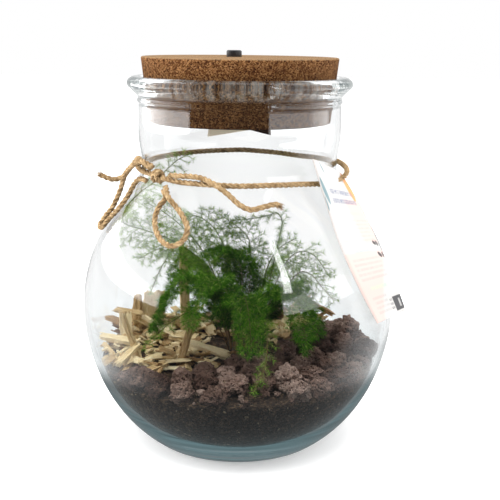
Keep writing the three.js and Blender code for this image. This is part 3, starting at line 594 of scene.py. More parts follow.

# %% [markdown]
# ## Cork stopper
# Pressed cork is made of granules about a millimetre across, each its own brown, with dark pits
# between them. A cell pattern gives every granule a tone, and the same cells raise it a little. Its
# top is painted paler: partly a sanded face, partly painted light from above.

# %% Cork
CORK_BOTTOM_Z, CORK_TOP_Z = 228.7, 272.6
CORK_BOTTOM_R, CORK_TOP_R, CORK_EDGE = 63.1, 68, 1
BUTTON_R, BUTTON_X, BORE_GAP = 5.25, -4.2, 0.35
RECESS_R, RECESS_TOP_Z = 23, CORK_BOTTOM_Z + 20


def cork():
    g = Graph("pressed_cork")
    warped = g.wire("ShaderNodeVectorMath", {"operation": "ADD"}, {0: g.place(), 1: g.wire(
        "ShaderNodeVectorMath", {"operation": "SCALE"}, {0: g.wire("ShaderNodeTexNoise", {}, {
            "Vector": g.place(), "Scale": 420.0}, 1), "Scale": 0.0016})})
    granule = g.cells(1450, output="Color", at=warped)
    tone = g.red(granule)
    edge = g.cells(1450, "DISTANCE_TO_EDGE", at=warped)
    fine = g.noise(1900, 4, 0.65)
    base = g.ramp(tone * 0.6 + fine * 0.4, [
        (0.2, (0.028, 0.009, 0.003)), (0.36, (0.085, 0.031, 0.01)), (0.54, (0.175, 0.075, 0.025)),
        (0.8, (0.36, 0.18, 0.07))])
    # The top is painted paler, partly as a sanded face and partly as painted light from above.
    sanded_and_lit_top = g.axes()[2].smooth(0.2715, 0.2724)
    base = g.mix(sanded_and_lit_top * 0.6, base, (0.4, 0.27, 0.15))
    pits = g.noise(800, 3, 0.7).smooth(0.59, 0.67)
    dark = g.mix(pits * 0.85, base, (0.035, 0.015, 0.008))
    seams = edge.smooth(0.0, 0.09, 0.6, 1.0)
    colour = g.mix(1.0, dark, g.grey(seams), "MULTIPLY")
    height = edge.smooth(0.0, 0.2) * 0.5 + fine * 0.35 - pits * 0.8
    return g.surface({"Base Color": colour, "Roughness": 0.9, "Specular IOR Level": 0.1,
                      "Normal": g.bump(height, 0.0006, 0.8)})


stopper = lathe([
    (BUTTON_R + BORE_GAP, CORK_TOP_Z), (CORK_TOP_R - CORK_EDGE, CORK_TOP_Z),
    (CORK_TOP_R - 0.3, CORK_TOP_Z - 0.3), (CORK_TOP_R, CORK_TOP_Z - CORK_EDGE),
    (CORK_BOTTOM_R, CORK_BOTTOM_Z + CORK_EDGE), (CORK_BOTTOM_R - 0.3, CORK_BOTTOM_Z + 0.3),
    (CORK_BOTTOM_R - CORK_EDGE, CORK_BOTTOM_Z), (RECESS_R, CORK_BOTTOM_Z), (RECESS_R, RECESS_TOP_Z),
    (BUTTON_R + BORE_GAP, RECESS_TOP_Z)], AROUND, closed=True)
bore = [vert for vert in stopper.verts if math.hypot(vert.co.x, vert.co.y) < BUTTON_R + 1]
bmesh.ops.translate(stopper, verts=bore, vec=(BUTTON_X, 0, 0))
piece("cork_lid", stopper, [cork()], smooth=False)

# %% Button
BUTTON_TOP_Z, BUTTON_LENGTH, BUTTON_ROUND = 277.1, 13, 1.2


def plastic(name, colour, rough):
    g = Graph(name)
    grain = g.noise(900, 3)
    return g.surface({"Base Color": g.mix(grain * 0.4, colour, tuple(min(c * 1.6 + 0.01, 1) for c in colour)),
                      "Roughness": grain.smooth(0.2, 0.8, rough - 0.08, rough + 0.08),
                      "Normal": g.bump(grain, 0.0001, 0.3)})


round_edge = [(BUTTON_R - BUTTON_ROUND * (1 - math.cos(a)), BUTTON_TOP_Z - BUTTON_ROUND * (1 - math.sin(a)))
              for a in (math.pi / 2 * i / 6 for i in range(7))]
button = lathe([(0, BUTTON_TOP_Z - BUTTON_LENGTH), (BUTTON_R, BUTTON_TOP_Z - BUTTON_LENGTH), *round_edge,
                (0, BUTTON_TOP_Z)], 64)
bmesh.ops.translate(button, verts=button.verts, vec=(BUTTON_X, 0, 0))
piece("switch_button", button, [plastic("black_plastic", (0.012, 0.012, 0.014), 0.35)], BUTTON)

# %% [markdown]
# ## Lamp in the cork
# The switch, the holder with its two coin cells, the board and the light are hidden in the recess.
# Their solids have the right shape already, so they stay, and only take a finish.

# %% Lamp pieces
def steel():
    g = Graph("bright_steel")
    grain = g.noise(1, 4, 0.6, at=g.stretched((3000, 60, 60)))
    return g.surface({"Base Color": (0.72, 0.73, 0.75), "Metallic": 1.0,
                      "Roughness": grain.smooth(0.2, 0.8, 0.2, 0.34)})


def board():
    g = Graph("circuit_board")
    tracks = g.cells(700, "DISTANCE_TO_EDGE").smooth(0.02, 0.06)
    return g.surface({"Base Color": g.mix(tracks, (0.3, 0.42, 0.2), (0.03, 0.14, 0.06)), "Roughness": 0.4})


def lens_plastic():
    g = Graph("lamp_lens")
    cloud = g.noise(300, 2)
    return g.surface({"Base Color": g.mix(cloud, (0.95, 0.9, 0.74), (0.98, 0.96, 0.86)), "Roughness": 0.15,
                      "Coat Weight": 0.6})


def finish_node(node, material):
    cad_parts[node].material_slots[0].material = material
    print(node, "keeps its solid and takes", material.name)


HOUSING = plastic("dark_plastic", (0.03, 0.032, 0.036), 0.5)
STEEL = steel()
for node in ("switch_body", "battery_holder"):
    finish_node(node, HOUSING)
for node in ("coin_cell_1", "coin_cell_2"):
    finish_node(node, STEEL)
finish_node("lamp_board", board())
finish_node("lamp_led", lens_plastic())

# %% [markdown]
# ## Paper
# The patch under the lamp and the tag on the twine are both thin sheets. A grid is bent to its
# place and thickened evenly about itself, and its front keeps the grid's own (u, v), which the
# tag's print is laid out in.

# %% Sheet maker
def bent_sheet(columns, rows, point, thickness):
    shape = bmesh.new()
    uv = shape.loops.layers.uv.new("UVMap")
    bmesh.ops.create_grid(shape, x_segments=columns, y_segments=rows, size=0.5, calc_uvs=True)
    for vert in shape.verts:
        vert.co = point(vert.co.x + 0.5, vert.co.y + 0.5)
    closed_up(shape).normal_update()
    front = shape.faces[:]
    copy = bmesh.ops.duplicate(shape, geom=front)
    back = [part for part in copy["geom"] if isinstance(part, bmesh.types.BMFace)]
    kept = {vert for face in front for vert in face.verts}
    moved = {vert for face in back for vert in face.verts}
    shifts = {vert: vert.normal * thickness / 2 * (1 if vert in kept else -1) for vert in kept | moved}
    for vert, shift in shifts.items():
        vert.co += shift
    for face in back:
        for loop in face.loops:
            loop[uv].uv = (-1, -1)
    bmesh.ops.reverse_faces(shape, faces=back)
    rims = [edge for edge in shape.edges if edge.is_boundary]
    bmesh.ops.bridge_loops(shape, edges=rims)
    bmesh.ops.recalc_face_normals(shape, faces=shape.faces)
    return shape


# %% Paper patch
PATCH_SIDE, PATCH_THICK = 43, 0.7
PATCH_FRONT, PATCH_BACK = -21.5, 27
PATCH_CREST, PATCH_HOLE_R = 7, 6


def on_patch(u, v):
    """Stuck to the cork along its back edge, and hanging a little lower towards its front corners."""
    x = (u - 0.5) * PATCH_SIDE
    y = PATCH_FRONT + v * (PATCH_BACK - PATCH_FRONT)
    sag = 3 + (5 * (PATCH_CREST - x) / 28.5 if x < PATCH_CREST else 3.4 * (x - PATCH_CREST) / 14.5)
    ragged = 1 - 0.02 * abs(noise.noise((x * 0.35, y * 0.35, 3.1)))
    return Vector((x * ragged, y * ragged, CORK_BOTTOM_Z - BORE_GAP - PATCH_THICK / 2 - sag * (1 - v) ** 1.5))


def stained_paper_and_painted_glow():
    g = Graph("stained_paper_and_painted_glow")
    x = g.axes()[0]
    stain = g.noise(160, 4, 0.7)
    left = 1 - (x + (stain - 0.5) * 0.016).smooth(0.004, 0.012)
    brown = g.ramp(stain, [
        (0.35, (0.03, 0.012, 0.008)), (0.55, (0.08, 0.035, 0.02)), (0.7, (0.16, 0.08, 0.045))])
    return g.surface({"Base Color": g.mix(left, brown, (0.86, 0.8, 0.68)), "Roughness": 0.8,
                      # Painted light: the pale left part glows a little, as light thrown up from below.
                      "Emission Color": g.mix(left, (0, 0, 0), (0.3, 0.26, 0.2)), "Emission Strength": 1.0,
                      "Normal": g.bump(stain, 0.0005, 0.6)})


def punched(shape, radius, low, high):
    """The shape with a round hole straight down through its middle."""
    punch = bmesh.new()
    bmesh.ops.create_cone(punch, cap_ends=True, segments=32, radius1=radius, radius2=radius, depth=high - low,
                          matrix=Matrix.Translation((0, 0, (low + high) / 2)))
    whole, cutter = (show(name, mesh_of(name, part)) for name, part in (("whole", shape), ("punch", punch)))
    hole = whole.modifiers.new("hole", "BOOLEAN")
    hole.object, hole.operation, hole.solver = cutter, "DIFFERENCE", "EXACT"
    holed = bmesh.new()
    holed.from_object(whole, bpy.context.evaluated_depsgraph_get())
    for used in (whole, cutter):
        bpy.data.objects.remove(used)
    return holed


patch = punched(bent_sheet(48, 48, on_patch, PATCH_THICK), PATCH_HOLE_R, CORK_BOTTOM_Z - 8, CORK_BOTTOM_Z + 1)
piece("paper_patch", patch, [stained_paper_and_painted_glow()])

# %% [markdown]
# ## Tag
# The tag is threaded on the band and curls over the jar's shoulder. Its print is a generic one:
# coloured strokes, rows of fine broken lines and a dark block, with no words.

# %% Tag shape
TAG_THICK = 0.7
TAG_LEFT = [
    (47.6, -59.2, 210.4), (56.6, -60.4, 183.2), (65.2, -72.4, 158.2), (76.8, -76.8, 132.8),
    (92.3, -67.4, 103.3)]
TAG_ACROSS = [(21, 29, -12.6), (26, 27.5, -7.5), (27.5, 27, -3.5), (27, 28, -0.5), (24, 31, 0)]
TAG_ROWS = 24
tag_left, tag_across = catmull(TAG_LEFT, TAG_ROWS), catmull(TAG_ACROSS, TAG_ROWS)


def on_tag(u, v):
    i = round((1 - v) * (len(tag_left) - 1))
    return tag_left[i] + tag_across[i] * u


print("tag", round(length_of(tag_left)), "mm long")

# %% Tag print
INK, TEAL, GREEN, DARK = (0.06, 0.09, 0.2), (0.12, 0.22, 0.25), (0.3, 0.58, 0.4), (0.03, 0.03, 0.035)
GREY, PEACH, PINK = (0.28, 0.25, 0.26), (0.75, 0.3, 0.1), (0.62, 0.48, 0.44)
# Strokes that swell in the middle: start, end, half width, ink, strength
STROKES = [
    ((0.2, 1.0), (0.26, 0.93), 0.03, TEAL, 0.8), ((0.04, 0.9), (0.11, 0.73), 0.055, TEAL, 0.85),
    ((0.0, 0.79), (0.02, 0.69), 0.035, TEAL, 0.8),
    ((0.93, 0.985), (0.89, 0.77), 0.085, PEACH, 0.95), ((0.87, 0.5), (0.9, 0.465), 0.04, DARK, 0.9),
    ((0.94, 0.5), (0.96, 0.455), 0.035, DARK, 0.8), ((0.88, 0.42), (0.92, 0.375), 0.045, DARK, 0.9),
    ((0.97, 0.415), (0.98, 0.37), 0.03, DARK, 0.8)]
# Rows of fine broken lines: left, right, bottom, top, ink, rows, strength
ROWS = [
    (0.22, 0.88, 0.735, 0.855, INK, 2, 0.75), (0.06, 0.84, 0.665, 0.705, GREEN, 1, 0.5),
    (0.07, 0.95, 0.495, 0.65, GREY, 6, 0.3), (0.3, 0.7, 0.415, 0.455, GREEN, 1, 0.7),
    (0.14, 0.86, 0.245, 0.4, GREY, 5, 0.4), (0.28, 0.72, 0.18, 0.222, GREEN, 1, 0.55),
    (0.2, 0.6, 0.035, 0.155, GREY, 4, 0.4), (0.62, 0.71, 0.035, 0.115, DARK, 3, 0.75)]


def printed_card():
    g = Graph("printed_card")
    u, v, _ = g.axes(g.wire("ShaderNodeTexCoord", output="UV"))
    upper = (u + v * 0.4).smooth(0.8, 0.9) * v.between(0.48, 0.78, 0.02)
    lower = (u - v * 1.9).smooth(0.22, 0.3, 1.0, 0.0) * v.between(-0.1, 0.43, 0.01)
    colour = g.mix(upper + lower, (0.54, 0.525, 0.51), PINK)
    for (u0, v0), (u1, v1), width, ink, strength in STROKES:
        share = (v - v0) * (1 / (v1 - v0))
        bow = (share * (1 - share) * 4).math("MAXIMUM", 0.0).math("POWER", 0.6)
        off = (u - u0 - share * (u1 - u0)).math("ABSOLUTE")
        colour = g.mix((bow * width - off).smooth(0.0, 0.012) * strength, colour, ink)
    for left, right, low, high, ink, rows, strength in ROWS:
        row = (v - low) * (rows / (high - low))
        breaks = g.noise(1, 2, 0.5, at=g.shift(u * 70, row.math("FLOOR") * 7.3))
        fine = g.noise(1, 1, 0.5, at=g.shift(u * 210, row * 5))
        area = row.math("FRACT").between(0.2, 0.72, 0.1) * breaks.smooth(0.4, 0.46)
        area = area * fine.smooth(0.35, 0.55) * u.between(left, right, 0.004) * v.between(low, high, 0.001)
        colour = g.mix(area * strength, colour, ink)
    block = u.between(0.73, 0.99, 0.004) * v.between(0.02, 0.115, 0.002)
    window = u.between(0.88, 0.93, 0.004) * v.between(0.04, 0.095, 0.002)
    colour = g.mix(block * (1 - window * 0.7) * 0.92, colour, DARK)
    return g.surface({"Base Color": colour, "Roughness": 0.5, "Specular IOR Level": 0.35})


# %% Tag
tag = bent_sheet(12, TAG_ROWS * 4, on_tag, TAG_THICK)
piece("paper_tag", tag, [printed_card()])

# %% [markdown]
# ## Soil, stones and chips
# The bed is dressed with the same seeded draw that placed the solids, so every stone and chip lies
# where its solid does, only finer. Grit and splinters fill what the solids left as a plain slab.

# %% Bed limits
SOIL_Z, SOIL_MOUND = 58, 4.5
SOIL_ROOM, SOIL_LIFT, BED_ROOM = 0.4, 0.35, 0.5
CROWN, CROWN_R = (2, 5), 24
EDGE_LINE = [
    (-130, -22), (-100, -34), (-80, -52), (-50, -60), (-20, -46), (2, -30), (26, -12), (42, 18),
    (56, 45), (90, 60), (130, 66)]


def soil_top(r):
    return SOIL_Z + SOIL_MOUND * (1 - (r / 100) ** 2)


def edge_at(x):
    """The y where chips meet stones, seen from above: stones lie in front of it."""
    return float(np.interp(x, *zip(*EDGE_LINE)))


def pull_in(point, room):
    """Draws a point in towards the axis until it is clear of the glass by room."""
    limit = radius_at(inner_side, point.z) - room
    r = math.hypot(point.x, point.y)
    if r > limit:
        point.x *= limit / r
        point.y *= limit / r


def keep_inside(shape, room):
    for vert in shape.verts:
        pull_in(vert.co, room)


print("soil", SOIL_Z, "mm high, and", SOIL_Z + SOIL_MOUND, "in the middle")

# %% Soil
def soil_material():
    g = Graph("potting_soil")
    clod = g.noise(110, 5, 0.7)
    grain = g.cells(620, output="Color")
    tone = g.red(grain)
    base = g.ramp(clod * 0.6 + tone * 0.4, [
        (0.25, (0.006, 0.004, 0.003)), (0.5, (0.03, 0.018, 0.012)), (0.68, (0.085, 0.052, 0.032)),
        (0.85, (0.19, 0.125, 0.08))])
    crumb = g.cells(150).smooth(0.13, 0.2, 1.0, 0.0) * (tone.smooth(0.55, 0.6))
    height = clod * 0.7 + g.cells(620).smooth(0.0, 0.7, 1.0, 0.0) * 0.5
    return g.surface({"Base Color": g.mix(crumb * 0.8, base, (0.42, 0.31, 0.2)), "Roughness": 0.9,
                      "Specular IOR Level": 0.3, "Normal": g.bump(height, 0.0016, 1.0)})


SOIL_RINGS, SOIL_AROUND = 34, 180
low_wall = [(r - SOIL_ROOM, z + SOIL_LIFT) for r, z in inner_side if z < SOIL_Z - 2]
top_edge = radius_at(inner_side, SOIL_Z) - SOIL_ROOM
top_line = [(r, soil_top(r)) for r in (top_edge * k / SOIL_RINGS for k in range(SOIL_RINGS, -1, -1))]
soil = lathe([(0, FLOOR_Z + SOIL_LIFT), *low_wall, *top_line], SOIL_AROUND)
for vert in soil.verts:
    lump = noise.noise(vert.co * 0.16) + 0.6 * noise.noise(vert.co * 0.42)
    r = math.hypot(vert.co.x, vert.co.y)
    if vert.co.z > SOIL_Z - 0.01:
        vert.co.z += 0.9 * lump - 0.5
    elif vert.co.z > FLOOR_Z + 2:
        inset = 1 - max(lump, 0) * 0.9 / r
        vert.co.x *= inset
        vert.co.y *= inset
piece("soil", soil, [soil_material()])

# %% Where the stones lie
STONE_R, STONE_GAP, STONE_RINGS = 8, 2.4, (95, 79, 63, 47, 31)
FROND_TIP, TIP_CLEAR = (13, -91), 13


def place_stones():
    draw = draw_from(7)
    stones = []
    for ring in STONE_RINGS:
        count = math.floor(2 * math.pi * ring / (2 * STONE_R + STONE_GAP) + 0.5)
        for i in range(count):
            a = 2 * math.pi * (i + 0.3 * draw()) / count
            r = ring - 2 * draw()
            x, y = r * math.cos(a), r * math.sin(a)
            size = STONE_R * (0.82 + 0.36 * draw())
            heap = 4 * draw() if x > 30 and y > -30 else 0
            z = soil_top(r) + size * 0.5 + heap
            draw()  # the solid's turn, which a stone of noise doesn't need
            near_tip = math.hypot(x - FROND_TIP[0], y - FROND_TIP[1]) < TIP_CLEAR
            if y < edge_at(x) - 7 and not near_tip:
                stones.append((Vector((x, y, z)), size))
    return stones


stones = place_stones()
print(len(stones), "stones")

# %% Stone maker
def add_stone(shape, at, size, subdivisions, seed):
    """One porous stone: a ball pushed in and out by noise."""
    made = bmesh.ops.create_icosphere(shape, subdivisions=subdivisions, radius=size)["verts"]
    tone = shape.verts.layers.float["tone"]
    offset = Vector((seed * 7.7, seed * 3.1, seed * 5.3))
    shade = (seed * 0.618) % 1
    stretch = Vector((1 + 0.18 * math.sin(seed * 2.1), 1 + 0.18 * math.sin(seed * 3.7), 0.86))
    for vert in made:
        way = vert.co.normalized()
        lump = 0.36 * noise.noise(way * 1.4 + offset) + 0.2 * noise.noise(way * 3.2 + offset)
        knob = noise.noise(way * size * 0.3 + offset, noise_basis="VORONOI_F2F1")
        crag = 0.2 * (knob + 0.5) + 0.1 * noise.noise(way * size * 0.95 + offset)
        vert.co = at + size * way * stretch * (1 + lump + crag)
        vert[tone] = shade


# %% Lava stones
def lava_material():
    g = Graph("lava_stone")
    tone = g.attribute("tone")
    patchy = g.noise(150, 4, 0.6)
    base = g.ramp(tone * 0.45 + patchy * 0.55, [
        (0.25, (0.05, 0.026, 0.019)), (0.42, (0.13, 0.076, 0.058)), (0.6, (0.245, 0.155, 0.122)),
        (0.82, (0.4, 0.285, 0.235))])
    pore = g.cells(430).smooth(0.12, 0.36) * g.cells(1000).smooth(0.1, 0.5, 0.5, 1.0)
    fine = g.noise(1300, 3, 0.7)
    dark = g.mix(pore.smooth(0.0, 0.7, 0.75, 0.0), base, (0.018, 0.01, 0.009))
    return g.surface({"Base Color": dark, "Roughness": 0.92, "Specular IOR Level": 0.25,
                      "Normal": g.bump(pore * 0.8 + fine * 0.35, 0.0026, 1.0)})


def in_bed(rng, front):
    """A seeded place in the bed's front or back part."""
    while True:
        x, y = rng.uniform(-103, 103, 2)
        clear = y < edge_at(x) - 3 if front else y > edge_at(x) + 3
        off_crown = math.hypot(x - CROWN[0], y - CROWN[1])
        if math.hypot(x, y) < 101 and clear and off_crown > (0 if front else CROWN_R):
            return x, y


GRIT, STONE_CUTS, GRIT_CUTS = 190, 4, 2
rng = np.random.default_rng(5)
lava = bmesh.new()
lava.verts.layers.float.new("tone")
for i, (at, size) in enumerate(stones):
    pull_in(at, size * 1.02)
    add_stone(lava, at, size, STONE_CUTS, i + 1)
for i in range(GRIT):
    x, y = in_bed(rng, True)
    size = rng.uniform(1.1, 3.1)
    at = Vector((x, y, soil_top(math.hypot(x, y)) + size * rng.uniform(0.1, 0.9)))
    add_stone(lava, at, size, GRIT_CUTS, i + 200)
keep_inside(lava, BED_ROOM)
piece("lava_stones", lava, [lava_material()], smooth=False)

# %% Where the chips lie
SLATS = [
    ((-67, 45, 77), (19, 24, 4.5), 8, 84, 4), ((-80, 38, 76), (8, 24, 3), -6, 80, 0),
    ((-85, 12, 70), (9, 22, 2.6), 10, 78, 5), ((-75, -26, 76), (5, 35, 3), 90, 72, 80),
    ((-93, 22, 74), (13, 18, 2.6), 70, 12, 10), ((-88, -8, 70), (9, 22, 2.6), 85, 8, -6),
    ((-85, 24, 81), (9, 19, 2.4), 80, 6, 0), ((-62, 20, 72), (5, 26, 2.6), 55, 14, 8),
    ((-76, -38, 69), (5, 22, 2.4), -30, 20, 0), ((-36, -30, 76), (5, 34, 3), -30, 58, 0),
    ((-21, -26, 70), (6, 28, 2.6), -112, -9, 16), ((-42, 34, 91), (7, 64, 2.6), 14, 80, 6),
    ((64, 66, 74), (8, 26, 2.8), 60, 18, 14), ((46, 58, 76), (9, 22, 2.6), -40, 30, 0)]
CHIP_EVERY = 19


def place_chips():
    draw = draw_from(21)
    chips = list(SLATS)
    for gx in range(-96, 97, CHIP_EVERY):
        for gy in range(-54, 97, CHIP_EVERY):
            x, y = gx + 8 * (draw() - 0.5), gy + 8 * (draw() - 0.5)
            size = (4.5 + 4.5 * draw(), 15 + 14 * draw(), 1.8 + 1.4 * draw())
            yaw, pitch, roll = 360 * draw(), 26 * (draw() - 0.3), 50 * (draw() - 0.5)
            lift = 3 + 5 * draw()
            clear_of_crown = math.hypot(x - CROWN[0], y - CROWN[1]) > CROWN_R + 9
            if y > edge_at(x) + 6 and math.hypot(x, y) < 92 and clear_of_crown:
                chips.append(((x, y, SOIL_Z + lift), size, yaw, pitch, roll))
    return chips


boards = place_chips()
print(len(boards), "chips, of which", len(SLATS), "are slats placed by hand")

# %% Chip maker
def unit_board(cuts):
    """A cube one unit wide, its edges cut into cuts + 1 parts."""
    shape = bmesh.new()
    bmesh.ops.create_cube(shape, size=1)
    bmesh.ops.subdivide_edges(shape, edges=shape.edges[:], cuts=cuts, use_grid_fill=True)
    return mesh_of("board", shape)


def add_chip(shape, board, at, size, yaw, pitch, roll, seed):
    """A split board: ragged along its sides, broken across its ends, and ridged by its grain."""
    w, l, t = size
    first = len(shape.verts)
    shape.from_mesh(board)
    shape.verts.ensure_lookup_table()
    turn = (Matrix.Rotation(math.radians(yaw), 4, "Z") @ Matrix.Rotation(math.radians(pitch), 4, "X")
            @ Matrix.Rotation(math.radians(roll), 4, "Y"))
    grain, tone = shape.verts.layers.float_vector["grain"], shape.verts.layers.float["tone"]
    for vert in shape.verts[first:]:
        x, y, z = vert.co
        taper = 1 - 0.3 * (y + 0.5) * ((seed * 0.37) % 1)
        ragged = 0.16 * noise.noise((seed * 1.7, y * 4, x * 2))
        ridge = 0.36 * noise.noise((x * 7 + seed, y * 0.7, seed * 2.3))
        broken = 0.3 * noise.noise((x * 5, seed * 2.9, z * 3)) * (2 * y) ** 2
        place = Vector((w * (x * taper + ragged), l * (y + broken), t * (z + ridge)))
        vert[grain] = place + Vector((seed * 13.1, seed * 7.3, 0))
        vert[tone] = (seed * 0.618) % 1
        vert.co = turn @ place + Vector(at)


# %% Wood chips
SPLINTERS = 330


def chip_material():
    g = Graph("wood_chip")
    grain = g.attribute("grain", "Vector")
    tone = g.attribute("tone")
    along = g.wire("ShaderNodeVectorMath", {"operation": "MULTIPLY"}, {0: grain, 1: (1.0, 0.09, 1.0)})
    lines = g.noise(2.2, 5, 0.65, at=along)
    fine = g.noise(7, 3, 0.6, at=along)
    base = g.ramp(tone * 0.45 + lines * 0.55, [
        (0.2, (0.13, 0.06, 0.024)), (0.34, (0.38, 0.23, 0.1)), (0.5, (0.68, 0.51, 0.27)),
        (0.75, (0.92, 0.8, 0.54))])
    return g.surface({"Base Color": g.mix(fine.smooth(0.5, 0.25) * 0.5, base, (0.3, 0.18, 0.08)),
                      "Roughness": 0.75, "Specular IOR Level": 0.3,
                      "Normal": g.bump(lines * 0.6 + fine * 0.4, 0.0005, 0.8)})


chips = bmesh.new()
chips.verts.layers.float_vector.new("grain")
chips.verts.layers.float.new("tone")
large, small = unit_board(6), unit_board(2)
for i, chip in enumerate(boards):
    add_chip(chips, large, *chip, i + 1)
for i in range(SPLINTERS):
    x, y = in_bed(rng, False)
    size = (rng.uniform(1.8, 6.5), rng.uniform(4, 15), rng.uniform(0.8, 2))
    lift = SOIL_Z + rng.uniform(1.5, 9.5)
    turns = rng.uniform(0, 360), rng.uniform(-34, 34), rng.uniform(-45, 45)
    add_chip(chips, small, (x, y, lift), size, *turns, i + 90)
keep_inside(chips, BED_ROOM)
piece("wood_chips", chips, [chip_material()], smooth=False)

# %% [markdown]
# ## Fern finishes
# The stems are woody and brown at the foot and green above. The needles run from dark green deep in
# the plant to yellow green further out and higher up: painted shade in the core and painted light on
# the outer tips. An image could give that, but a number stored on every needle does it with one
# ramp, so each needle has a shade of its own.

# %% Fern finishes
def stem_material():
    g = Graph("fern_stem")
    z = g.axes()[2]
    streak = g.noise(260, 3)
    old = g.mix(streak, (0.07, 0.035, 0.015), (0.18, 0.11, 0.04))
    return g.surface({"Base Color": g.mix(z.smooth(0.085, 0.15), old, (0.13, 0.2, 0.05)), "Roughness": 0.55})


def needle_material():
    g = Graph("fern_needle")
    tone = g.attribute("tone")
    # Low numbers give the painted shade deep in the plant, high ones the painted light on the outer tips.
    colour = g.ramp(tone, [
        (0.0, (0.007, 0.036, 0.0005)), (0.3, (0.028, 0.12, 0.002)), (0.65, (0.11, 0.29, 0.012)),
        (1.0, (0.42, 0.6, 0.12))])
    return g.surface({"Base Color": colour, "Roughness": 0.65, "Specular IOR Level": 0.12})


STEM, NEEDLE = stem_material(), needle_material()
print("finishes", STEM.name, NEEDLE.name)

# %% [markdown]
# ## Fern stems
# Every stem rises from the soil and bends over. Its line was read off the photo, with the depth
# guessed, so a table of points says it best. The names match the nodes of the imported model.

# %% Frond table
# Name, where its leaves begin, longest branch, roll of its flat side, and the stem's points
FRONDS = [
    ("fern_arch_left", 0.3, 19, 60, [
        (-6, 7, 60), (-13, 12, 95), (-29, 14, 124), (-49, 12, 139), (-68, 6, 148), (-83, 0, 155),
        (-80, -3, 167), (-70, -6, 178), (-59, -6, 187), (-51, -4, 195), (-44, 0, 201),
        (-36, 4, 205)]),
    ("fern_plume_left_high", 0.5, 24, 70, [
        (-3, 1, 60), (-12, -8, 106), (-25, -13, 137), (-39, -16, 155), (-53, -14, 166),
        (-64, -10, 171)]),
    ("fern_plume_left_low", 0.45, 20, 55, [
        (-8, 13, 60), (-21, 26, 91), (-37, 33, 116), (-56, 36, 128), (-77, 34, 120)]),
    ("fern_sprig_left", 0.5, 7, 0, [
        (-8, 19, 60), (-21, 37, 90), (-36, 46, 117), (-48, 47, 127), (-60, 44, 112), (-69, 38, 92)]),
    ("fern_top_left", 0.5, 22, 60, [
        (-1, 6, 60), (-4, 10, 96), (-9, 12, 129), (-15, 10, 144), (-21, 6, 153), (-30, 0, 160),
        (-40, -4, 160)]),
    ("fern_top_mid", 0.45, 22, 50, [
        (2, 11, 60), (8, 15, 102), (8, 16, 136), (2, 13, 147), (-6, 9, 154), (-14, 8, 160)]),
    ("fern_tall_right", 0.62, 7, 50, [
        (8, 6, 60), (20, 12, 96), (27, 10, 130), (30, 5, 146), (31, 0, 157), (27, -4, 164),
        (20, -6, 162), (8, -8, 160), (-5, -9, 159)]),
    ("fern_right_high", 0.5, 15, 60, [
        (9, 14, 60), (25, 26, 97), (36, 30, 119), (46, 28, 128), (57, 23, 126), (68, 17, 112)]),
    ("fern_right_low", 0.5, 16, 50, [
        (12, 9, 60), (28, 13, 92), (43, 11, 115), (53, 8, 116), (61, 4, 108), (70, 0, 99)]),
    ("fern_front_left", 0.35, 20, 0, [
        (-5, -4, 60), (-12, -21, 97), (-24, -33, 119), (-37, -39, 125), (-49, -42, 112),
        (-56, -40, 90)]),
    ("fern_front_left_low", 0.4, 15, 0, [
        (-7, -9, 60), (-16, -26, 89), (-30, -38, 101), (-43, -45, 97), (-54, -48, 88),
        (-63, -50, 80)]),
    ("fern_front_mid_left", 0.35, 18, 0, [
        (-1, -8, 60), (-4, -31, 102), (-11, -47, 125), (-20, -56, 125), (-27, -61, 113),
        (-31, -64, 100)]),
    ("fern_front_mid", 0.35, 20, 0, [
        (2, -12, 60), (2, -38, 96), (4, -54, 116), (7, -66, 113), (9, -74, 99), (10, -78, 87)]),
    ("fern_front_hanging", 0.4, 9, 0, [
        (5, -7, 60), (13, -38, 91), (18, -58, 101), (20, -73, 92), (19, -83, 80), (15, -90, 72),
        (11, -95, 66)]),
    ("fern_front_right", 0.35, 20, 0, [
        (9, -4, 60), (22, -27, 104), (31, -42, 120), (39, -52, 114), (44, -58, 98), (47, -60, 84)]),
    ("fern_right_mid", 0.35, 19, 0, [
        (11, 1, 60), (26, -6, 97), (38, -12, 110), (48, -17, 104), (54, -21, 92), (58, -24, 82)]),
    ("fern_back_left", 0.4, 18, 40, [
        (-3, 17, 60), (-18, 46, 95), (-32, 61, 111), (-45, 70, 108), (-54, 74, 95)]),
    ("fern_back_mid", 0.4, 18, 0, [
        (1, 22, 60), (1, 46, 99), (-1, 60, 117), (-9, 69, 119), (-20, 75, 109)]),
    ("fern_back_right", 0.4, 18, -40, [
        (6, 19, 60), (20, 47, 98), (31, 62, 112), (42, 70, 107), (52, 73, 93)]),
    ("fern_crown_top", 0.4, 20, 0, [
        (3, 2, 60), (3, -3, 98), (2, -8, 123), (-3, -14, 136), (-11, -20, 141), (-21, -25, 138)]),
    ("fern_top_right", 0.4, 18, 40, [
        (6, -1, 60), (15, -3, 98), (21, -4, 124), (27, -6, 136), (33, -8, 142), (40, -9, 146)])]
THIN = ("fern_sprig_left", "fern_front_hanging", "fern_front_left_low")
DENSE = ("fern_front", "fern_right_mid", "fern_crown", "fern_back_left", "fern_back_mid")
print(len(FRONDS), "fronds")

# %% [markdown]
# ## Fern branches
# A frond is flat like a feather: branches leave the stem left and right by turns, and twigs leave
# them in the same way. Geometry nodes could scatter them, but a plain loop draws the same frond each
# time, and stops a twig before it meets the glass. A curve with a bevel then makes every line of the
# frond a slim tube at once.

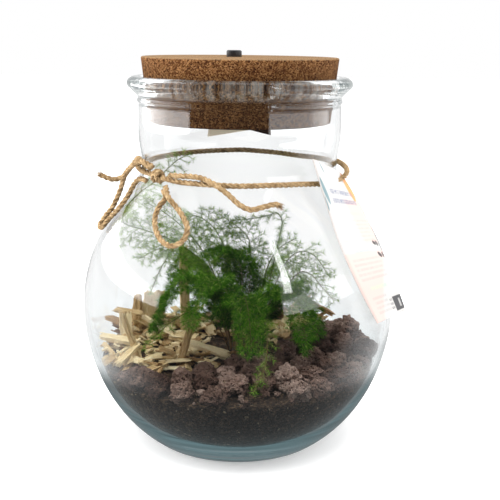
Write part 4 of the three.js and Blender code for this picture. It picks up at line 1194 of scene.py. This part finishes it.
# %% Branches
# Where there are three values, they are for thin, usual and dense fronds.
ROOT_Z, LEANS_Z, LEAFY_SOONER, GLASS_ROOM = 45, 60, 0.12, 1.0
STEM_R, BRANCH_R, TWIG_R = (0.8, 0.25), (0.17, 0.08), (0.08, 0.06)
BRANCH_GAP, TWIG_GAP = (4.2, 3.3, 2.0), (4.4, 3.6, 2.7)
BRANCH_TURN, TWIG_TURN, TWIG_STEP = 0.9, 0.76, 1.2
WILD = (0.4, 0.4, 1.0)


def branch_shape(u):
    return min(0.5 + 1.8 * u, 1) * (1 - u) ** 0.5 + 0.14


def stem_route(stem):
    """A stem stands upright in the soil, and leans from a little above it."""
    (x, y, _), (next_x, next_y, next_z) = stem[:2]
    rise = (x + 0.12 * (next_x - x), y + 0.12 * (next_y - y), LEANS_Z + 0.3 * (next_z - LEANS_Z))
    return [(x, y, ROOT_Z), (x, y, LEANS_Z), rise, *stem[1:]]


def in_jar(p):
    return math.hypot(p.x, p.y) < radius_at(inner_side, p.z) - GLASS_ROOM and p.z > SOIL_Z + 5


def twig(start, heading, reach, droop, step=TWIG_STEP):
    """A drooping line, stopped before it meets the glass."""
    count = max(round(reach / step), 2)
    line = [start]
    for k in range(1, count + 1):
        s = reach * k / count
        p = start + heading * s - UP * droop * s * s / reach
        if not in_jar(p):
            break
        line.append(p)
    return line if len(line) > 1 else None


def sides(axis):
    across = axis.cross(UP)
    return across.normalized() if across.length > 0.05 else Vector((1, 0, 0))


def grow(leafy, reach, roll, stem, dense, rng):
    """The stem, its branches and their twigs, as lines with a radius at each end."""
    line = evenly(catmull(stem_route(stem), 12), 1.0)
    woody = [(line, *STEM_R)]
    carriers = []
    total = len(line) - 1
    rooted = (LEANS_Z - ROOT_Z) / total
    bare = round(total * (rooted + (1 - rooted) * (leafy - LEAFY_SOONER)))
    carriers.append(line[bare:])
    count = round((total - bare) / BRANCH_GAP[dense])
    wild = WILD[dense]
    for i in range(count):
        u = (i + 0.5) / count
        k = min(round(bare + (total - bare) * u), total - 1)
        axis = (line[k + 1] - line[k]).normalized()
        side = Matrix.Rotation(math.radians(roll), 3, axis) @ sides(axis) * (1 if i % 2 else -1)
        spread = BRANCH_TURN + wild * rng.uniform(-0.2, 0.2)
        heading = (side * math.sin(spread) + axis * math.cos(spread)
                   + UP * wild * rng.uniform(-0.25, 0.3)).normalized()
        face = axis.cross(heading)
        size = reach * branch_shape(u) * rng.uniform(0.8, 1.12)
        branch = twig(line[k], heading, size, rng.uniform(0.05, 0.3))
        if not branch:
            continue
        woody.append((branch, *BRANCH_R))
        carriers.append(branch)
        twigs = int(len(branch) * TWIG_STEP / TWIG_GAP[dense])
        for j in range(1, twigs):
            k = min(round(j * TWIG_GAP[dense] / TWIG_STEP), len(branch) - 2)
            way = (branch[k + 1] - branch[k]).normalized()
            out = way.cross(face).normalized() * (1 if j % 2 else -1)
            turn = TWIG_TURN + wild * rng.uniform(-0.17, 0.17)
            aim = (out * math.sin(turn) + way * math.cos(turn)
                   + UP * wild * rng.uniform(-0.4, 0.4)).normalized()
            longest = max(size * 0.5 * (1 - j / twigs), 2.4)
            twiglet = twig(branch[k], aim, longest * rng.uniform(0.7, 1.1), 0.1, 3)
            if twiglet:
                carriers.append(twiglet)
                woody.append((twiglet, *TWIG_R))
    return woody, carriers


# %% Wood
def wood_of(name, woody):
    """Every stem, branch and twig of a frond as one mesh of slim tubes."""
    curve = bpy.data.curves.new(name, "CURVE")
    curve.dimensions = "3D"
    curve.bevel_depth = 1
    curve.bevel_resolution = 0
    curve.use_fill_caps = True
    for line, thick, thin in woody:
        run = curve.splines.new("POLY")
        run.points.add(len(line) - 1)
        for k, (point, place) in enumerate(zip(run.points, line)):
            point.co = (*place, 1)
            point.radius = thick + (thin - thick) * k / (len(line) - 1)
    carrier = bpy.data.objects.new(name, curve)
    mesh = bpy.data.meshes.new_from_object(carrier)
    bpy.data.objects.remove(carrier)
    mesh.calc_loop_triangles()
    places = np.empty(len(mesh.vertices) * 3)
    mesh.vertices.foreach_get("co", places)
    corners = np.empty(len(mesh.loop_triangles) * 3, dtype=int)
    mesh.loop_triangles.foreach_get("vertices", corners)
    bpy.data.meshes.remove(mesh)
    return places.reshape(-1, 3), corners.reshape(-1, 3)


# %% [markdown]
# ## Fern needles
# What look like leaves are soft green needles in tufts, all round the twig and leaning forward. Hair
# particles would be quick to make, but they don't come through an export, so the needles are real
# triangles. One is made once and set down more than a hundred thousand times by array maths.

# %% Needle tufts
TUFT_GAP, NEEDLES_A_TUFT = 1.4, (5, 7, 8)
NEEDLE_MM, NEEDLE_R, NEEDLE_LEAN = 4.6, (0.09, 0.09, 0.12), (0.65, 1.15)


def needles_on(carriers, dense, rng):
    """Roots, directions and lengths of the needles in tufts along the lines."""
    roots, ways = [], []
    for line in carriers:
        steps = evenly(line, TUFT_GAP)
        for a, b in zip(steps, steps[1:]):
            roots.append(b)
            ways.append((b - a).normalized())
        if len(steps) > 1:
            roots += [steps[-1]] * 2
            ways += [(steps[-1] - steps[-2]).normalized()] * 2
    roots = np.repeat(np.array(roots), NEEDLES_A_TUFT[dense], axis=0)
    ways = np.repeat(np.array(ways), NEEDLES_A_TUFT[dense], axis=0)
    n = len(roots)
    round_way = rng.normal(size=(n, 3))
    round_way[:, 2] *= 0.7
    round_way -= (round_way * ways).sum(1)[:, None] * ways
    round_way /= np.linalg.norm(round_way, axis=1)[:, None]
    lean = rng.uniform(*NEEDLE_LEAN, n)[:, None]
    ways = ways * np.cos(lean) + round_way * np.sin(lean)
    sizes = NEEDLE_MM * rng.uniform(0.62, 1.15, n)
    tips = roots + ways * sizes[:, None]
    limit = np.interp(tips[:, 2], [p[1] for p in inner_side], [p[0] for p in inner_side]) - GLASS_ROOM
    fits = (np.hypot(tips[:, 0], tips[:, 1]) < limit) & (tips[:, 2] > SOIL_Z + 3)
    return roots[fits], ways[fits], sizes[fits]


# %% Needle shape
def one_needle():
    """A slim three-sided spike one unit long, from the origin up, open where it joins its twig."""
    shape = bmesh.new()
    bmesh.ops.create_cone(shape, cap_ends=False, segments=3, radius1=1, radius2=0, depth=1,
                          matrix=Matrix.Translation((0, 0, 0.5)))
    closed_up(shape)
    places = np.array([vert.co[:] for vert in shape.verts])
    corners = np.array([[vert.index for vert in face.verts] for face in shape.faces])
    shape.free()
    return places, corners


NEEDLE_PLACES, NEEDLE_CORNERS = one_needle()
print("one needle has", len(NEEDLE_PLACES), "points and", len(NEEDLE_CORNERS), "faces")


def scatter(roots, ways, sizes, radius):
    """The needle set down at every root, pointing its way."""
    flat = np.cross(ways, (0.31, 0.52, 0.8))
    flat /= np.linalg.norm(flat, axis=1)[:, None]
    other = np.cross(ways, flat)
    x, y, z = NEEDLE_PLACES.T
    places = (roots[:, None] + radius * (flat[:, None] * x[None, :, None] + other[:, None] * y[None, :, None])
              + ways[:, None] * z[None, :, None] * sizes[:, None, None])
    corners = NEEDLE_CORNERS[None] + len(NEEDLE_PLACES) * np.arange(len(roots))[:, None, None]
    return places.reshape(-1, 3), corners.reshape(-1, 3)


# %% Fronds
# Painted light and shade: thin and usual fronds are painted paler, and dense ones stay darker as painted
# shade.
PAINTED_PALER = (0.3, 0.3, 0.0)


def add_frond(name, leafy, reach, roll, stem, seed):
    rng = np.random.default_rng(seed)
    dense = 0 if name in THIN else 2 if name.startswith(DENSE) else 1
    woody, carriers = grow(leafy, reach, roll, stem, dense, rng)
    wood, wood_corners = wood_of(name, woody)
    roots, ways, sizes = needles_on(carriers, dense, rng)
    spikes, spike_corners = scatter(roots, ways, sizes, NEEDLE_R[dense])
    mesh = bpy.data.meshes.new(name)
    faces = np.concatenate([wood_corners, spike_corners + len(wood)])
    mesh.from_pydata(np.concatenate([wood, spikes]) * MM, [], faces)
    finish = np.repeat([0, 1], [len(wood_corners), len(spike_corners)])
    mesh.polygons.foreach_set("material_index", finish)
    # Painted light: needles further from the axis and higher up are painted paler, and those deep in the
    # plant darker, as painted shade.
    painted_light_outward = np.hypot(roots[:, 0], roots[:, 1]) / 110 * 0.35 + (roots[:, 2] - 60) / 110 * 0.4
    tone = np.clip(painted_light_outward + PAINTED_PALER[dense] + rng.normal(0.03, 0.26, len(roots)), 0, 1)
    tones = np.concatenate([np.zeros(len(wood)), np.repeat(tone, len(NEEDLE_PLACES))])
    mesh.attributes.new("tone", "FLOAT", "POINT").data.foreach_set("value", tones)
    link(name, mesh, [STEM, NEEDLE])
    return len(roots)


needles = sum(add_frond(*frond, 31 + i) for i, frond in enumerate(FRONDS))
print(needles, "needles in", len(FRONDS), "fronds")

# %% [markdown]
# ## Stage
# A white floor under a white sky. Soft lamps stand above and at both sides, and only light. Upright
# panels at the sides are what the glass mirrors, as pale veils on the neck and the belly and a
# bright streak at the right.

# %% Floor
def white_floor():
    """A floor that glows white to the eye, with a painted shadow near the jar. In the glass it is painted
    dark in front of the jar, dim under it and bright elsewhere.
    """
    g = Graph("white_floor")
    place = g.place()
    far = g.wire("ShaderNodeVectorMath", {"operation": "LENGTH"}, {0: place}, 1)
    eye, soft = (g.ray(kind) for kind in ("Is Camera Ray", "Is Diffuse Ray"))
    plain = (eye + soft).math("MINIMUM", 1.0)
    x, y, _ = g.axes(place)
    # Painted light seen in the glass: dark in front of the jar, bright at its sides and behind, dim close
    # under it.
    white = y.smooth(-0.16, -0.03, 0.05, 1.0) * x.math("ABSOLUTE").smooth(0.0, 0.25, 1.15, 1.0)
    near = far.smooth(0.13, 0.18)
    shade = near * white + (1 - near) * 0.22
    # Painted shadow: to the eye the floor glows less near the jar.
    painted_glow = far.smooth(0.06, 0.12, 0.26, 0.74)
    return g.surface({"Base Color": g.mix(plain, (0.0, 0.0, 0.0), (0.86, 0.86, 0.86)), "Roughness": 0.9,
                      "Specular IOR Level": 0.0, "Emission Color": g.mix(plain, g.grey(shade), g.grey(painted_glow)),
                      "Emission Strength": 1.0})


FLOOR_HALF, FLOOR_GAP = 6, 0.0003
floor = bmesh.new()
bmesh.ops.create_grid(floor, x_segments=1, y_segments=1, size=FLOOR_HALF,
                      matrix=Matrix.Translation((0, 0, -FLOOR_GAP)))
floor_mesh = mesh_of("floor", floor)
floor_mesh.materials.append(white_floor())
ground = show("floor", floor_mesh)
print("floor", 2 * FLOOR_HALF, "m wide")

# %% Lamps
def lamp(name, at, size, power, aim=(0, 0, 0.12)):
    light = bpy.data.lights.new(name, "AREA")
    light.shape = "RECTANGLE"
    light.size, light.size_y = size
    light.energy = power
    made = show(name, light)
    turn = (Vector(at) - Vector(aim)).to_track_quat("Z", "Y").to_matrix().to_4x4()
    made.matrix_world = Matrix.Translation(at) @ turn
    return made


def panel(name, bearing, wide, away, radiance, low, high, lights=False):
    """An upright panel for the glass to mirror, with bearing and width in degrees from the camera's side."""
    a = math.radians(bearing)
    middle = (low + high) / 2
    across = 2 * away * math.tan(math.radians(wide / 2))
    power = radiance * math.pi * across * (high - low)
    at = (away * math.sin(a), -away * math.cos(a), middle)
    lamp(name, at, (across, high - low), power, (0, 0, middle)).visible_diffuse = lights


# Panels for the glass to mirror: name, bearing, width, distance, radiance, low edge, high edge,
# whether it also lights
PANELS = [
    ("left_panel", -95, 81, 0.6, 0.8, 0.3, 1.1), ("left_window", -95, 81, 0.6, 4.0, 0.17, 0.3, True),
    ("right_panel", 73, 83, 0.6, 0.75, 0.3, 1.1), ("right_window", 73, 83, 0.6, 2.2, 0.17, 0.3, True),
    ("right_strip", 37, 5.5, 0.95, 8.0, 0.43, 1.28)]
# Lamps that light and aren't mirrored: name, place, size, power
SOFTBOXES = [
    ("top_softbox", (-0.1, -0.3, 1.1), (0.7, 0.5), 14), ("left_softbox", (-0.75, -0.12, 0.3), (0.5, 0.5), 5),
    ("right_softbox", (0.7, 0.35, 0.3), (0.4, 0.4), 4)]
for row in PANELS:
    panel(*row)
for row in SOFTBOXES:
    softbox = lamp(*row)
    softbox.visible_glossy = softbox.visible_transmission = False
print(len(PANELS), "panels and", len(SOFTBOXES), "softboxes")

# %% Sky
sky = Graph("studio", bpy.data.worlds)
eye, soft = (sky.ray(kind) for kind in ("Is Camera Ray", "Is Diffuse Ray"))
across, away, up = sky.axes(sky.wire("ShaderNodeTexCoord", output="Generated"))
behind = away.smooth(-0.25, 0.15, 0.06, 1.0) * across.math("ABSOLUTE").smooth(0.0, 0.1, 1.12, 0.82)
strength = eye + (1 - eye) * (soft * up.smooth(-0.2, 0.9, 0.42, 0.8) + (1 - soft) * behind)
light = sky.wire("ShaderNodeBackground", {}, {0: (1, 1, 1), 1: strength})
sky.node("ShaderNodeOutputWorld", {}, {"Surface": light})
bpy.context.scene.world = sky.owner
bpy.context.scene.view_settings.view_transform = "Standard"
print("world", sky.owner.name)
